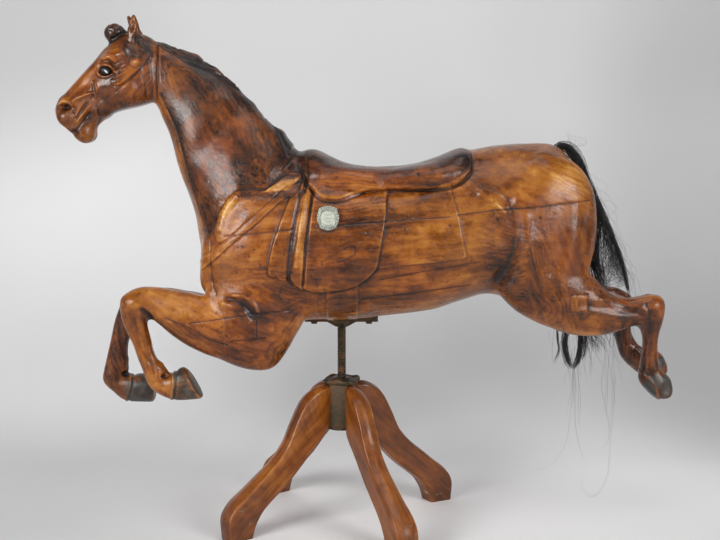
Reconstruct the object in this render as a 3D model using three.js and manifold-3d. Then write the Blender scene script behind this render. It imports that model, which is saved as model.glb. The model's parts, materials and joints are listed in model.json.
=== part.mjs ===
// A carved wooden carousel horse on the screw of a four-legged swivel stand.
// Units are millimetres and +Z is up. The horse faces -X and its near (left) side faces -Y.
// Everything is drawn with the screw's axis as x = y = 0, and the whole is then centred in plan.

import * as THREE from "three";
import { mergeVertices } from "three/addons/utils/BufferGeometryUtils.js";
import Module from "manifold-3d";

const wasm = await Module();
wasm.setup();

// ---- Driving dimensions ----

const AXIS_PLACE = { x: -65, y: 12.7 }; // the screw's axis, from the middle of the whole in plan
const GAP = 0.3; // clearance between pieces that touch
const WELD = 0.05; // points closer than this are one

const LEG_AZIMUTH = 31; // degrees from -X to the first leg, towards the near side
const LEG_COUNT = 4;
const LEG_STRAY = [0, -2, 0, 8]; // degrees that each leg stands off the even spacing

const HUB_FLAT = 33; // axis to a bare face of the iron column
const HUB_FACE = 38; // width of a bare face
const HUB_LOW = 218;
const HUB_HIGH = 317;
const FOOT_PLATE_RADIUS = 35;
const CAP_THICK = 12;
const CAP_RADIUS = 41; // mean radius of the four-lobed cap
const CAP_LOBE = 4.5; // lobe height over that radius

const SCREW_RADIUS = 10; // thread crest
const THREAD_DEPTH = 1.3;
const THREAD_PITCH = 4.5;
const SCREW_LOW = 224;
const SCREW_HIGH = 466;
const THREAD_LOW = 328; // the stretch of the rod whose thread shows
const THREAD_HIGH = 447;
const BORE_RADIUS = SCREW_RADIUS + 0.4;

const CROSS_TOP = 469.7; // top of the mounting cross, under the belly
const CROSS_THICK = 11;
const CROSS_REACH = 82;
const CROSS_WIDTH = 34;
const SIDE_REACH = 44;
const COLLAR_RADIUS = 16;
const COLLAR_DEPTH = 12;
const BOLT_PLACE = 62;
const BOLT_RADIUS = 4;
const BOLT_HEAD = 8;
const BOLT_LENGTH = 42;

const EYE = { x: -509, y: 44.5, z: 1013, long: 13.5, deep: 9, high: 12 };
const BADGE = { x: -26, z: 700, width: 45, height: 50, thick: 3 };
const SOCKET_RADIUS = 15; // the hole that the tail is plugged into

const STRAP_RISE = 5; // how far each carved layer stands out of the barrel
const FLAP_RISE = 8;
const ROLL_RISE = 11;
const MANE_RISE = 5;

// ---- Materials ----

const varnish = () => material(0x9a5a2a, 0.42, 0);
const standWood = () => material(0xa9622f, 0.38, 0);
const iron = () => material(0x4a4238, 0.62, 0.75);
const glass = () => material(0x0c0a09, 0.08, 0);
const silver = () => material(0xa9b3a2, 0.45, 0.6);
const horsehair = () => material(0x0b0a0a, 0.6, 0);

function material(color, roughness, metalness) {
  return new THREE.MeshStandardMaterial({ color, roughness, metalness });
}

// ---- Solids ----

const radians = THREE.MathUtils.degToRad;

function solid(geometry) {
  const bare = geometry.clone();
  bare.deleteAttribute("normal");
  bare.deleteAttribute("uv");
  const merged = mergeVertices(bare, 1e-4);
  return new wasm.Manifold(
    new wasm.Mesh({
      numProp: 3,
      vertProperties: merged.attributes.position.array,
      triVerts: new Uint32Array(merged.index.array),
    }),
  );
}

function join(shapes) {
  return shapes.reduce((whole, shape) => whole.add(shape));
}

// Points closer than the weld distance become one, and the faces that collapse are dropped.
function geometryOf(shape) {
  const mesh = shape.getMesh();
  const geometry = new THREE.BufferGeometry();
  const places = new Float32Array(mesh.vertProperties);
  geometry.setAttribute("position", new THREE.BufferAttribute(places, 3));
  geometry.setIndex(new THREE.BufferAttribute(new Uint32Array(mesh.triVerts), 1));
  const welded = mergeVertices(geometry, WELD);
  const kept = [];
  for (let i = 0; i < welded.index.count; i += 3) {
    const face = [0, 1, 2].map((e) => welded.index.getX(i + e));
    if (new Set(face).size === 3) kept.push(...face);
  }
  return welded.setIndex(kept);
}

function node(name, shape, look) {
  const made = new THREE.Mesh(geometryOf(shape), look);
  made.name = name;
  return made;
}

// A closed skin over a row of rings that have the same number of points.
function skin(rings) {
  const sides = rings[0].length;
  const places = rings.flat().flatMap((p) => [p.x, p.y, p.z]);
  const faces = [];
  for (let r = 0; r < rings.length - 1; r++) {
    for (let s = 0; s < sides; s++) {
      const a = r * sides + s;
      const b = r * sides + ((s + 1) % sides);
      faces.push(a, b, a + sides, b, b + sides, a + sides);
    }
  }
  for (const [ring, turned] of [[0, true], [rings.length - 1, false]]) {
    const centre = new THREE.Vector3();
    rings[ring].forEach((p) => centre.addScaledVector(p, 1 / sides));
    const tip = places.length / 3;
    places.push(centre.x, centre.y, centre.z);
    for (let s = 0; s < sides; s++) {
      const a = ring * sides + s;
      const b = ring * sides + ((s + 1) % sides);
      faces.push(...(turned ? [b, a, tip] : [a, b, tip]));
    }
  }
  const geometry = new THREE.BufferGeometry();
  geometry.setAttribute("position", new THREE.Float32BufferAttribute(places, 3));
  geometry.setIndex(faces);
  const made = solid(geometry);
  return made.volume() < 0 ? solid(flipped(geometry)) : made;
}

function flipped(geometry) {
  const index = Array.from(geometry.index.array);
  for (let i = 0; i < index.length; i += 3) {
    [index[i + 1], index[i + 2]] = [index[i + 2], index[i + 1]];
  }
  return geometry.clone().setIndex(index);
}

// A limb or trunk carved round a row of stations. Each station spans the plane y = middle from
// its top to its low point, and bulges by half to either side. fuller moves the widest place
// towards the top (positive) or the low point, and square sharpens an ellipse into a box.
function loft(stations, { sides = 16, square = 2.2, fuller = 0, grow = 0, side = 1 } = {}) {
  return skin(
    stations.map(({ top, low, half, middle = 0, full = fuller }) => {
      const high = new THREE.Vector3(top[0], 0, top[1]);
      const down = new THREE.Vector3(low[0], 0, low[1]);
      const along = high.clone().sub(down).multiplyScalar(0.5);
      const centre = high.clone().add(down).multiplyScalar(0.5);
      along.multiplyScalar(1 + grow / along.length());
      return Array.from({ length: sides }, (_, s) => {
        const turn = (2 * Math.PI * s) / sides;
        const c = bulge(Math.cos(turn), square);
        const w = bulge(Math.sin(turn), square) * (half + grow) * (1 + full * c);
        return centre.clone().addScaledVector(along, c).setY(side * middle + w);
      });
    }),
  );
}

function bulge(value, square) {
  return Math.sign(value) * Math.abs(value) ** (2 / square);
}

// Stations from rows of [top x, top z, low x, low z, half width, middle].
function stations(rows) {
  return rows.map(([tx, tz, lx, lz, half, middle = 0]) => ({
    top: [tx, tz],
    low: [lx, lz],
    half,
    middle,
  }));
}

// A prism through the horse from side to side, on an outline in the plane y = 0.
function prism(outline, near = -220, far = 220) {
  const shape = new THREE.Shape(outline.map(([x, z]) => new THREE.Vector2(x, z)));
  const depth = far - near;
  const body = new THREE.ExtrudeGeometry(shape, { depth, bevelEnabled: false });
  return solid(body.rotateX(Math.PI / 2).translate(0, far, 0));
}

function cylinder(radius, from, to, sides = 12) {
  const start = new THREE.Vector3(...from);
  const way = new THREE.Vector3(...to).sub(start);
  const body = new THREE.CylinderGeometry(radius, radius, way.length(), sides);
  const upright = new THREE.Vector3(0, 1, 0);
  const turn = new THREE.Quaternion().setFromUnitVectors(upright, way.clone().normalize());
  body.applyQuaternion(turn);
  const middle = start.addScaledVector(way, 0.5);
  return solid(body.translate(middle.x, middle.y, middle.z));
}

function box(x0, x1, y0, y1, z0, z1) {
  const body = new THREE.BoxGeometry(x1 - x0, y1 - y0, z1 - z0);
  return solid(body.translate((x0 + x1) / 2, (y0 + y1) / 2, (z0 + z1) / 2));
}

function ball(x, y, z, long, deep, high, around = 12, rows = 7) {
  const body = new THREE.SphereGeometry(1, around, rows).rotateX(Math.PI / 2);
  return solid(body.scale(long, deep, high).translate(x, y, z));
}

// ---- The horse ----

// Barrel stations: place along the body, back line, belly line and half width.
const BARREL = [
  [-311, 652, 552, 40],
  [-298, 712, 516, 80],
  [-260, 776, 482, 112],
  [-196, 810, 466, 130],
  [-100, 812, 463, 138],
  [0, 788, 464, 140],
  [90, 784, 473, 139],
  [190, 802, 485, 137],
  [262, 834, 505, 134],
  [325, 850, 522, 132],
  [400, 857, 505, 133],
  [462, 856, 500, 126],
  [492, 839, 520, 110],
  [516, 800, 560, 88],
  [532, 745, 620, 54],
].map(([x, top, low, half]) => ({ top: [x, top], low: [x, low], half, middle: 0 }));

// Neck stations, from inside the head down into the chest.
const NECK = stations([
  [-416, 1081, -420, 962, 41],
  [-385, 1074, -404, 935, 43],
  [-343, 1058, -392, 905, 46],
  [-294, 1031, -378, 872, 51],
  [-246, 993, -365, 826, 59],
  [-200, 951, -352, 780, 69],
  [-164, 911, -336, 735, 82],
  [-129, 876, -323, 690, 96],
  [-98, 842, -315, 640, 108],
  [-60, 800, -300, 590, 112],
]);

// Head stations, from the poll down to the lips.
const HEAD = stations([
  [-398, 1074, -404, 960, 38],
  [-425, 1092, -416, 948, 46],
  [-458, 1098, -440, 940, 53],
  [-488, 1090, -462, 934, 55],
  [-513, 1071, -484, 929, 54],
  [-542, 1040, -503, 923, 48],
  [-568, 1010, -522, 910, 41],
  [-602, 975, -541, 893, 35],
  [-622, 951, -545, 875, 34],
  [-632, 932, -553, 861, 32],
  [-624, 910, -568, 856, 27],
  [-606, 892, -582, 864, 16],
]);

const NEAR_FORELEG = stations([
  [-250, 640, -70, 500, 58, 64],
  [-280, 568, -96, 442, 62, 66],
  [-298, 527, -146, 368, 56, 74],
  [-320, 533, -205, 363, 51, 78],
  [-345, 538, -262, 385, 46, 80],
  [-371, 542, -320, 407, 41, 81],
  [-400, 546, -368, 440, 36, 81],
  [-434, 547, -402, 468, 33, 81],
  [-464, 536, -420, 477, 32, 81],
  [-482, 512, -424, 466, 30, 81],
  [-480, 482, -420, 450, 26, 81],
  [-470, 450, -417, 436, 23, 81],
  [-455, 417, -411, 405, 21, 81],
  [-443, 380, -401, 383, 22, 81],
  [-431, 345, -382, 364, 24, 81],
  [-421, 323, -371, 352, 24, 81],
  [-400, 307, -362, 362, 27, 81],
  [-363, 295, -350, 371, 31, 81],
  [-302, 299, -339, 367, 33, 81],
]);

const FAR_FORELEG = stations([
  [-250, 610, -70, 510, 58, 64],
  [-280, 550, -100, 450, 62, 66],
  [-304, 510, -160, 368, 56, 74],
  [-335, 512, -222, 364, 51, 78],
  [-366, 517, -290, 380, 46, 80],
  [-400, 523, -350, 402, 41, 81],
  [-434, 525, -398, 430, 36, 81],
  [-466, 522, -436, 449, 33, 81],
  [-493, 512, -456, 458, 32, 81],
  [-512, 493, -466, 451, 30, 81],
  [-523, 468, -471, 439, 26, 81],
  [-533, 438, -484, 424, 23, 81],
  [-542, 399, -500, 396, 21, 81],
  [-552, 358, -502, 352, 22, 81],
  [-560, 326, -498, 324, 24, 81],
  [-560, 302, -494, 314, 24, 81],
  [-540, 280, -484, 320, 27, 81],
  [-508, 256, -466, 321, 31, 81],
  [-441, 253, -440, 318, 33, 81],
]);

const THIGH = [
  [440, 846, 300, 740, 52, 50],
  [500, 822, 296, 700, 62, 51],
  [536, 785, 300, 668, 68, 52],
  [553, 742, 308, 632, 70, 54],
  [559, 690, 316, 592, 71, 56],
  [555, 636, 322, 556, 70, 59],
  [543, 590, 356, 516, 66, 64],
  [545, 574, 388, 488, 62, 67],
  [566, 553, 440, 461, 52, 71],
];

const NEAR_HIND_LEG = stations([
  ...THIGH,
  [590, 531, 505, 440, 43, 74],
  [620, 521, 570, 438, 36, 75],
  [655, 524, 612, 450, 33, 75],
  [690, 530, 641, 460, 31, 75],
  [708, 514, 654, 455, 29, 75],
  [705, 474, 661, 440, 26, 75],
  [697, 442, 663, 422, 23, 75],
  [696, 403, 659, 388, 22, 75],
  [700, 370, 656, 360, 25, 75],
  [714, 355, 654, 344, 26, 75],
  [727, 342, 660, 330, 29, 75],
  [732, 314, 680, 308, 32, 75],
  [726, 302, 696, 296, 30, 75],
]);

const FAR_HIND_LEG = stations([
  ...THIGH,
  [590, 533, 505, 449, 43, 74],
  [620, 529, 566, 448, 36, 75],
  [650, 520, 604, 452, 33, 75],
  [672, 505, 622, 452, 31, 75],
  [678, 470, 628, 436, 28, 75],
  [673, 432, 633, 414, 24, 75],
  [682, 404, 642, 386, 22, 75],
  [698, 386, 653, 358, 24, 75],
  [722, 377, 670, 340, 26, 75],
  [746, 372, 690, 324, 29, 75],
  [760, 342, 716, 314, 32, 75],
  [762, 326, 738, 312, 28, 75],
]);

function forelock() {
  const curl = ball(-496, 0, 1095, 23, 24, 21, 12, 8);
  return join([curl, ball(-476, 0, 1101, 20, 20, 14, 10, 7)]);
}

function ear(side) {
  const rings = [
    [-450, 1076, 16, 11],
    [-454, 1098, 15, 11],
    [-459, 1116, 11, 9],
    [-463, 1132, 5, 4],
    [-464, 1140, 1.5, 1.5],
  ].map(([x, z, long, wide], r) =>
    Array.from({ length: 8 }, (_, s) => {
      const turn = (2 * Math.PI * s) / 8;
      const y = side * (30 + r) + wide * Math.sin(turn);
      return new THREE.Vector3(x + long * Math.cos(turn), y, z);
    }),
  );
  return skin(rings);
}

// The hide with a layer of the given rise over it, which the harness is cut from.
function layer(rise) {
  return loft(BARREL, { sides: 18, square: 2.3, fuller: -0.04, grow: rise });
}

function neckLayer(rise) {
  return loft(NECK, { sides: 18, square: 2.2, fuller: -0.12, grow: rise });
}

const SADDLE = [
  [-79, 838, 800, 60],
  [-70, 845, 768, 92],
  [-48, 838, 752, 112],
  [-10, 820, 740, 122],
  [40, 803, 746, 124],
  [92, 798, 758, 122],
  [146, 807, 758, 124],
  [194, 821, 758, 128],
  [235, 836, 764, 128],
  [264, 847, 779, 122],
  [280, 843, 800, 100],
  [290, 832, 812, 66],
].map(([x, top, low, half]) => ({ top: [x, top], low: [x, low], half, middle: 0 }));

// The seat follows the back: each section is an arch with its hem at the skirt's edge.
function saddle() {
  const arch = 12;
  const rings = SADDLE.map(({ top, low, half }) => {
    const rise = top[1] - low[1];
    const over = Array.from({ length: arch + 1 }, (_, s) => {
      const turn = (Math.PI * s) / arch;
      const y = half * bulge(Math.cos(turn), 2.6);
      return new THREE.Vector3(top[0], y, low[1] + rise * bulge(Math.sin(turn), 2.6));
    });
    const drop = Math.min(40, half / 3);
    const inner = [-0.6, 0.6].map((w) => new THREE.Vector3(top[0], w * half, low[1] - drop));
    return [...over, ...inner];
  });
  return skin(rings);
}

const FLAP = [
  [-64, 760], [102, 756], [102, 695], [94, 642], [82, 592],
  [56, 562], [20, 548], [-28, 542], [-81, 546], [-72, 640],
];
const KNEE_ROLL = [
  [-66, 756], [-64, 760], [-73, 640], [-82, 546], [-104, 558], [-111, 580], [-92, 659],
];
const FRONT_FLAP = [
  [-74, 762], [-92, 660], [-112, 578], [-116, 566], [-140, 568], [-156, 588], [-122, 700],
];
const COLLAR_BAND = [
  [-80, 785], [-164, 727], [-225, 677], [-282, 618], [-276, 602], [-225, 655], [-164, 706], [-80, 765],
];
const BREAST_BAND = [
  [-108, 706], [-183, 670], [-241, 640], [-290, 600], [-320, 602], [-320, 574], [-284, 576],
  [-238, 616], [-180, 648], [-112, 684],
];

function carvedLayers() {
  const front = layer(STRAP_RISE).intersect(prism(FRONT_FLAP));
  const flap = layer(FLAP_RISE).intersect(prism(FLAP));
  const roll = layer(ROLL_RISE).intersect(prism(KNEE_ROLL));
  const collar = join([layer(STRAP_RISE), neckLayer(STRAP_RISE)]);
  const bands = collar.intersect(join([prism(COLLAR_BAND), prism(BREAST_BAND)]));
  const pendant = layer(STRAP_RISE).intersect(box(-360, -290, -15, 15, 535, 622));
  return join([front, flap, roll, bands, pendant]);
}

const MANE = [
  [-392, 1076], [-340, 1030], [-290, 1006], [-248, 980], [-214, 950], [-180, 918],
  [-152, 884], [-122, 826], [-96, 846], [-110, 880], [-160, 940], [-220, 1000], [-290, 1060], [-380, 1100],
];

function horse() {
  const limb = { sides: 12, square: 2.3 };
  const carved = join([
    loft(BARREL, { sides: 18, square: 2.3, fuller: -0.04 }),
    loft(NECK, { sides: 18, square: 2.2, fuller: -0.12 }),
    loft(HEAD, { sides: 16, square: 2.4, fuller: -0.08 }),
    loft(NEAR_FORELEG, { ...limb, side: -1 }),
    loft(FAR_FORELEG, limb),
    loft(NEAR_HIND_LEG, { ...limb, side: -1 }),
    loft(FAR_HIND_LEG, limb),
    forelock(),
    ear(-1),
    ear(1),
    neckLayer(MANE_RISE).intersect(prism(MANE)),
    saddle(),
    carvedLayers(),
  ]);
  return cutForFittings(carved);
}

// Seats and holes for the eyes, the badge, the tail, the mounting cross and its screws.
function cutForFittings(carved) {
  const cuts = [tailSocket(), box(-90, 90, -60, 60, CROSS_TOP - 40, CROSS_TOP + GAP)];
  for (const side of [-1, 1]) {
    const { x, y, z, long, deep, high } = EYE;
    cuts.push(ball(x, side * y, z, long + GAP, deep + GAP, high + GAP));
  }
  cuts.push(badgeShape(GAP, BADGE_SEAT, -200));
  for (const [x, y] of boltPlaces()) {
    cuts.push(cylinder(BOLT_RADIUS + GAP, [x, y, CROSS_TOP - 5], [x, y, boltHigh() + GAP], 10));
  }
  return cuts.reduce((whole, cut) => whole.subtract(cut), carved);
}

// ---- The tail ----

const TAIL = stations([
  [470, 843, 486, 823, 12],
  [491, 857, 505, 835, 13],
  [516, 851, 516, 825, 14],
  [541, 826, 527, 806, 15],
  [563, 786, 543, 772, 16],
  [583, 737, 557, 726, 17],
  [601, 692, 570, 684, 19],
  [617, 645, 580, 638, 21],
  [634, 580, 588, 576, 22],
  [638, 524, 584, 522, 20],
  [626, 484, 566, 480, 18],
  [610, 438, 514, 430, 16],
  [592, 400, 490, 396, 15],
  [574, 362, 506, 356, 8],
]);

function tailSocket() {
  return cylinder(SOCKET_RADIUS, [466, 0, 825], [526, 0, 864], 14);
}

// ---- The badge ----

const BADGE_SEAT = -139; // the plane that the badge's back lies on

// A shield with scalloped sides and a small crest, from the plane y = back out to y = front.
function badgeShape(grow, back, front) {
  const steps = 28;
  const outline = Array.from({ length: steps }, (_, s) => {
    const turn = (2 * Math.PI * s) / steps;
    const scallop = 1 + 0.045 * Math.cos(8 * turn);
    const x = BADGE.x + (BADGE.width / 2 + grow) * scallop * bulge(Math.cos(turn), 2.6);
    const z = BADGE.z + (BADGE.height / 2 + grow) * scallop * bulge(Math.sin(turn), 2.6);
    return [x, z];
  });
  return prism(outline, front, back);
}

// ---- The iron ----

function boltPlaces() {
  return [[-BOLT_PLACE, 0], [BOLT_PLACE, 0]];
}

function boltHigh() {
  return CROSS_TOP - CROSS_THICK - GAP + BOLT_LENGTH;
}

function crossPlate() {
  const low = CROSS_TOP - CROSS_THICK;
  const half = CROSS_WIDTH / 2;
  const long = box(-CROSS_REACH, CROSS_REACH, -half, half, low, CROSS_TOP);
  const short = box(-half, half, -SIDE_REACH, SIDE_REACH, low, CROSS_TOP);
  const collar = cylinder(COLLAR_RADIUS, [0, 0, low - COLLAR_DEPTH], [0, 0, low + 1], 16);
  const webs = [0, 90, 180, 270].map((turn) => {
    const reach = turn % 180 ? SIDE_REACH - 8 : 38;
    const deep = turn % 180 ? 14 : COLLAR_DEPTH - 1;
    const outline = [[8, low + 1], [reach, low + 1], [COLLAR_RADIUS, low - deep], [8, low - deep]];
    const shape = new THREE.Shape(outline.map(([x, z]) => new THREE.Vector2(x, z)));
    const web = new THREE.ExtrudeGeometry(shape, { depth: 12, bevelEnabled: false });
    web.translate(0, 0, -6).rotateX(Math.PI / 2).rotateZ(radians(turn));
    return solid(web);
  });
  const bore = cylinder(BORE_RADIUS, [0, 0, low - 40], [0, 0, CROSS_TOP + 5], 24);
  const holes = boltPlaces().map(([x, y]) =>
    cylinder(BOLT_RADIUS + GAP, [x, y, low - 5], [x, y, CROSS_TOP + 5], 10),
  );
  return [bore, ...holes].reduce((a, b) => a.subtract(b), join([long, short, collar, ...webs]));
}

function crossScrew([x, y]) {
  const under = CROSS_TOP - CROSS_THICK - GAP;
  const head = cylinder(BOLT_HEAD, [x, y, under - 6], [x, y, under], 6);
  return join([head, cylinder(BOLT_RADIUS, [x, y, under - 2], [x, y, boltHigh()], 10)]);
}

// The rod's thread: two rows to a pitch, climbing once round in one pitch.
function threadedRod() {
  const sides = 9;
  const rows = Math.ceil((2 * (THREAD_HIGH - THREAD_LOW)) / THREAD_PITCH) + 6;
  const places = [];
  for (let k = 0; k < rows; k++) {
    for (let s = 0; s < sides; s++) {
      const turn = (2 * Math.PI * s) / sides;
      const radius = k % 2 ? SCREW_RADIUS - THREAD_DEPTH : SCREW_RADIUS;
      const z = THREAD_LOW - 6 + THREAD_PITCH * (k / 2 + s / sides);
      places.push(new THREE.Vector3(radius * Math.cos(turn), radius * Math.sin(turn), z));
    }
  }
  const thread = helixSkin(places, rows, sides);
  const inside = box(-50, 50, -50, 50, THREAD_LOW, THREAD_HIGH);
  const shank = cylinder(SCREW_RADIUS, [0, 0, SCREW_LOW], [0, 0, THREAD_LOW + 1], 20);
  const neck = cylinder(SCREW_RADIUS, [0, 0, THREAD_HIGH - 1], [0, 0, SCREW_HIGH], 20);
  return join([thread.intersect(inside), shank, neck]);
}

// Rows of points that step up one pitch in each turn, so row k's end meets row k + 2's start.
function helixSkin(places, rows, sides) {
  const faces = [];
  const at = (k, s) => (s < sides ? k * sides + s : (k + 2) * sides);
  for (let k = 0; k < rows - 3; k++) {
    for (let s = 0; s < sides; s++) {
      const [a, b, c, d] = [at(k, s), at(k, s + 1), at(k + 1, s), at(k + 1, s + 1)];
      faces.push(a, b, c, b, d, c);
    }
  }
  const edge = (k) => [...Array.from({ length: sides }, (_, s) => at(k, s)), at(k + 2, 0), at(k + 1, 0)];
  closeFan(places, faces, edge(0), true);
  closeFan(places, faces, edge(rows - 3), false);
  const geometry = new THREE.BufferGeometry();
  const flat = places.flatMap((p) => [p.x, p.y, p.z]);
  geometry.setAttribute("position", new THREE.Float32BufferAttribute(flat, 3));
  geometry.setIndex(faces);
  return solid(geometry);
}

function closeFan(places, faces, edge, turned) {
  const centre = new THREE.Vector3();
  edge.forEach((i) => centre.addScaledVector(places[i], 1 / edge.length));
  const tip = places.push(centre.setX(0).setY(0)) - 1;
  edge.forEach((a, i) => {
    const b = edge[(i + 1) % edge.length];
    faces.push(...(turned ? [b, a, tip] : [a, b, tip]));
  });
}

function cap() {
  const steps = 32;
  const ring = (z, scale) =>
    Array.from({ length: steps }, (_, s) => {
      const turn = (2 * Math.PI * s) / steps;
      const lobe = CAP_LOBE * Math.cos(LEG_COUNT * (turn - radians(180 + LEG_AZIMUTH)));
      const radius = (CAP_RADIUS + lobe) * scale;
      return new THREE.Vector3(radius * Math.cos(turn), radius * Math.sin(turn), z);
    });
  const low = HUB_HIGH + GAP;
  const high = low + CAP_THICK;
  const plate = skin([ring(low, 1), ring(high - 4, 1), ring(high, 0.82)]);
  const boss = cylinder(SCREW_RADIUS + 7, [0, 0, high - 2], [0, 0, high + 2], 20);
  return plate.add(boss).subtract(cylinder(BORE_RADIUS, [0, 0, 0], [0, 0, high + 50], 24));
}

// Eight faces: four bare ones, and four narrow ones that the legs butt against.
function hub(grow) {
  const half = HUB_FACE / 2 + grow / 2;
  const corners = [];
  for (let face = 0; face < LEG_COUNT; face++) {
    const turn = radians(225 + LEG_AZIMUTH + 90 * face);
    for (const side of [-half, half]) {
      const x = (HUB_FLAT + grow) * Math.cos(turn) - side * Math.sin(turn);
      const y = (HUB_FLAT + grow) * Math.sin(turn) + side * Math.cos(turn);
      corners.push(new THREE.Vector2(x, y));
    }
  }
  const shape = new THREE.Shape(corners);
  const depth = HUB_HIGH - HUB_LOW;
  const post = new THREE.ExtrudeGeometry(shape, { depth, bevelEnabled: false });
  return solid(post.translate(0, 0, HUB_LOW));
}

function column() {
  const foot = cylinder(FOOT_PLATE_RADIUS, [0, 0, HUB_LOW - 5], [0, 0, HUB_LOW + 1], 24);
  return hub(0).add(foot).subtract(cylinder(BORE_RADIUS, [0, 0, 0], [0, 0, HUB_HIGH + 50], 24));
}

// ---- The stand's legs ----

// Each station of a leg: its outer and inner edge as [radius, height] pairs, and its half width.
const LEG = [
  [34, 316, 34, 224, 10.5],
  [56, 316, 47, 211, 17],
  [80, 306, 56, 201, 20],
  [103, 286, 70, 186, 20],
  [127, 244, 88, 168, 20],
  [150, 197, 112, 142, 20],
  [180, 161, 137, 117, 21],
  [217, 130, 164, 94, 22],
  [252, 101, 190, 74, 24],
  [282, 76, 212, 54, 26],
  [300, 46, 228, 27, 27],
  [298, 0, 236, 0, 26],
];
const LEG_INNER = -0.22; // how much the section narrows towards the inner edge

function leg(turn) {
  const rows = LEG.map(([outer, high, inner, low, half]) => {
    return { top: [outer, high], low: [inner, low], half };
  });
  const body = loft(rows, { sides: 10, square: 3.2, fuller: -LEG_INNER });
  return body.rotate([0, 0, turn]).subtract(hub(GAP));
}

// ---- Assembly ----

const root = new THREE.Group();

root.add(
  node("horse", horse(), varnish()),
  node("eye_left", eyeBall(-1), glass()),
  node("eye_right", eyeBall(1), glass()),
  node("badge", badgeShape(0, BADGE_SEAT - GAP, BADGE_SEAT - GAP - BADGE.thick), silver()),
  node("tail", loft(TAIL, { sides: 10, square: 2.2 }), horsehair()),
  node("mounting_cross", crossPlate(), iron()),
  node("screw", threadedRod(), iron()),
  node("cap", cap(), iron()),
  node("column", column(), iron()),
);

boltPlaces().forEach((place, i) => {
  root.add(node("cross_screw_" + (i + 1), crossScrew(place), iron()));
});

for (let i = 0; i < LEG_COUNT; i++) {
  const turn = 180 + LEG_AZIMUTH + (360 / LEG_COUNT) * i + LEG_STRAY[i];
  root.add(node("leg_" + (i + 1), leg(turn), standWood()));
}

function eyeBall(side) {
  return ball(EYE.x, side * EYE.y, EYE.z, EYE.long, EYE.deep, EYE.high);
}

root.position.set(AXIS_PLACE.x, AXIS_PLACE.y, 0);

export default root;
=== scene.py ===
"""A carved wooden carousel horse with a horsehair tail, on a four-legged swivel stand."""

import json
import math

import bmesh
import bpy
import numpy as np
from bpy.props import FloatProperty, FloatVectorProperty, IntProperty, PointerProperty
from mathutils import Matrix, Vector


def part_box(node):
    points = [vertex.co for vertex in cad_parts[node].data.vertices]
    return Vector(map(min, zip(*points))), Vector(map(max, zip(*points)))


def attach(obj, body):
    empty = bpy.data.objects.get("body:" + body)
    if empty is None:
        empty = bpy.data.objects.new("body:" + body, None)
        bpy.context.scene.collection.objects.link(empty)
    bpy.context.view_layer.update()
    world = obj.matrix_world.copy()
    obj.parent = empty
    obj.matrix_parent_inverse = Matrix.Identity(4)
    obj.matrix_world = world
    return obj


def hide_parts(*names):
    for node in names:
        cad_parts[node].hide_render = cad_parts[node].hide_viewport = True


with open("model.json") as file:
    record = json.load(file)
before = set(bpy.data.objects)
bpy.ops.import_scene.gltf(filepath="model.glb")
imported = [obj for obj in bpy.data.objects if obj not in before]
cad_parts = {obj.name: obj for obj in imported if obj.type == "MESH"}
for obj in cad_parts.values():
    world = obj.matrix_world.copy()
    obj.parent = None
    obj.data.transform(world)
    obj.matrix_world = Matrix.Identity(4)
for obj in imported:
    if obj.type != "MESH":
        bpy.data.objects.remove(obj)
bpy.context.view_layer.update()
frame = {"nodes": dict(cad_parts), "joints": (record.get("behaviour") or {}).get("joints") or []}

bl_info = {
    "name": "Carousel Horse",
    "version": (1, 0, 0),
    "blender": (4, 5, 0),
    "location": "View3D > Sidebar > Horse",
    "description": "Builds a carved carousel horse on its swivel stand",
    "category": "Add Mesh",
}

# Shapes are drawn in millimetres from the screw's axis, with the horse's mid-plane at y = 0.
SWIVEL = Vector(frame["joints"][0]["pos_m"]) if frame["joints"] else Vector()
ORIGIN = np.array([SWIVEL.x, SWIVEL.y, 0.0])
MM = 0.001
NEAR, FAR = -1, 1


# ---------------------------------------------------------------- settings


class WoodSettings(bpy.types.PropertyGroup):
    """Colours of the varnished wood, from the darkest dirt and painted shade to the palest worn edge and painted
    highlight.
    """

    # The darkest stop: dirt and painted shade in the carving.
    pitch: FloatVectorProperty(
        name="Pitch", description="Old dirt and stain in the carving", subtype="COLOR",
        default=(0.0075, 0.0030, 0.0016), min=0, max=1,
    )
    umber: FloatVectorProperty(
        name="Umber", description="Darkened varnish", subtype="COLOR",
        default=(0.046, 0.0125, 0.0028), min=0, max=1,
    )
    chestnut: FloatVectorProperty(
        name="Chestnut", description="Dark varnished wood", subtype="COLOR",
        default=(0.138, 0.036, 0.0040), min=0, max=1,
    )
    amber: FloatVectorProperty(
        name="Amber", description="Ordinary varnished wood", subtype="COLOR",
        default=(0.262, 0.079, 0.0060), min=0, max=1,
    )
    honey: FloatVectorProperty(
        name="Honey", description="Light varnished wood", subtype="COLOR",
        default=(0.415, 0.165, 0.0200), min=0, max=1,
    )
    # The palest stop: worn edges and painted highlights.
    straw: FloatVectorProperty(
        name="Straw", description="Bare wood at worn edges", subtype="COLOR",
        default=(0.620, 0.340, 0.100), min=0, max=1,
    )
    gloss: FloatProperty(
        name="Gloss roughness", description="Roughness of the varnish", default=0.31, min=0, max=1
    )


class CarvingSettings(bpy.types.PropertyGroup):
    """How finely the horse is carved."""

    rough_voxel: FloatProperty(
        name="Rough voxel", description="Grain of the roughed-out body", unit="LENGTH",
        default=0.0045, min=0.002, max=0.02,
    )
    fine_voxel: FloatProperty(
        name="Fine voxel", description="Grain of the carved body", unit="LENGTH",
        default=0.0023, min=0.001, max=0.02,
    )
    triangles: IntProperty(
        name="Triangles", description="Triangles of the finished body", default=190000, min=1000
    )


class HairSettings(bpy.types.PropertyGroup):
    """The tail's horsehair."""

    thickness: FloatProperty(
        name="Hair thickness", description="Radius of one hair of the bundle", unit="LENGTH",
        default=0.00034, min=0.0001, max=0.01,
    )
    seed: IntProperty(name="Seed", description="Seed of the hair's scatter", default=7, min=0)


# ---------------------------------------------------------------- shader maths


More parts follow.
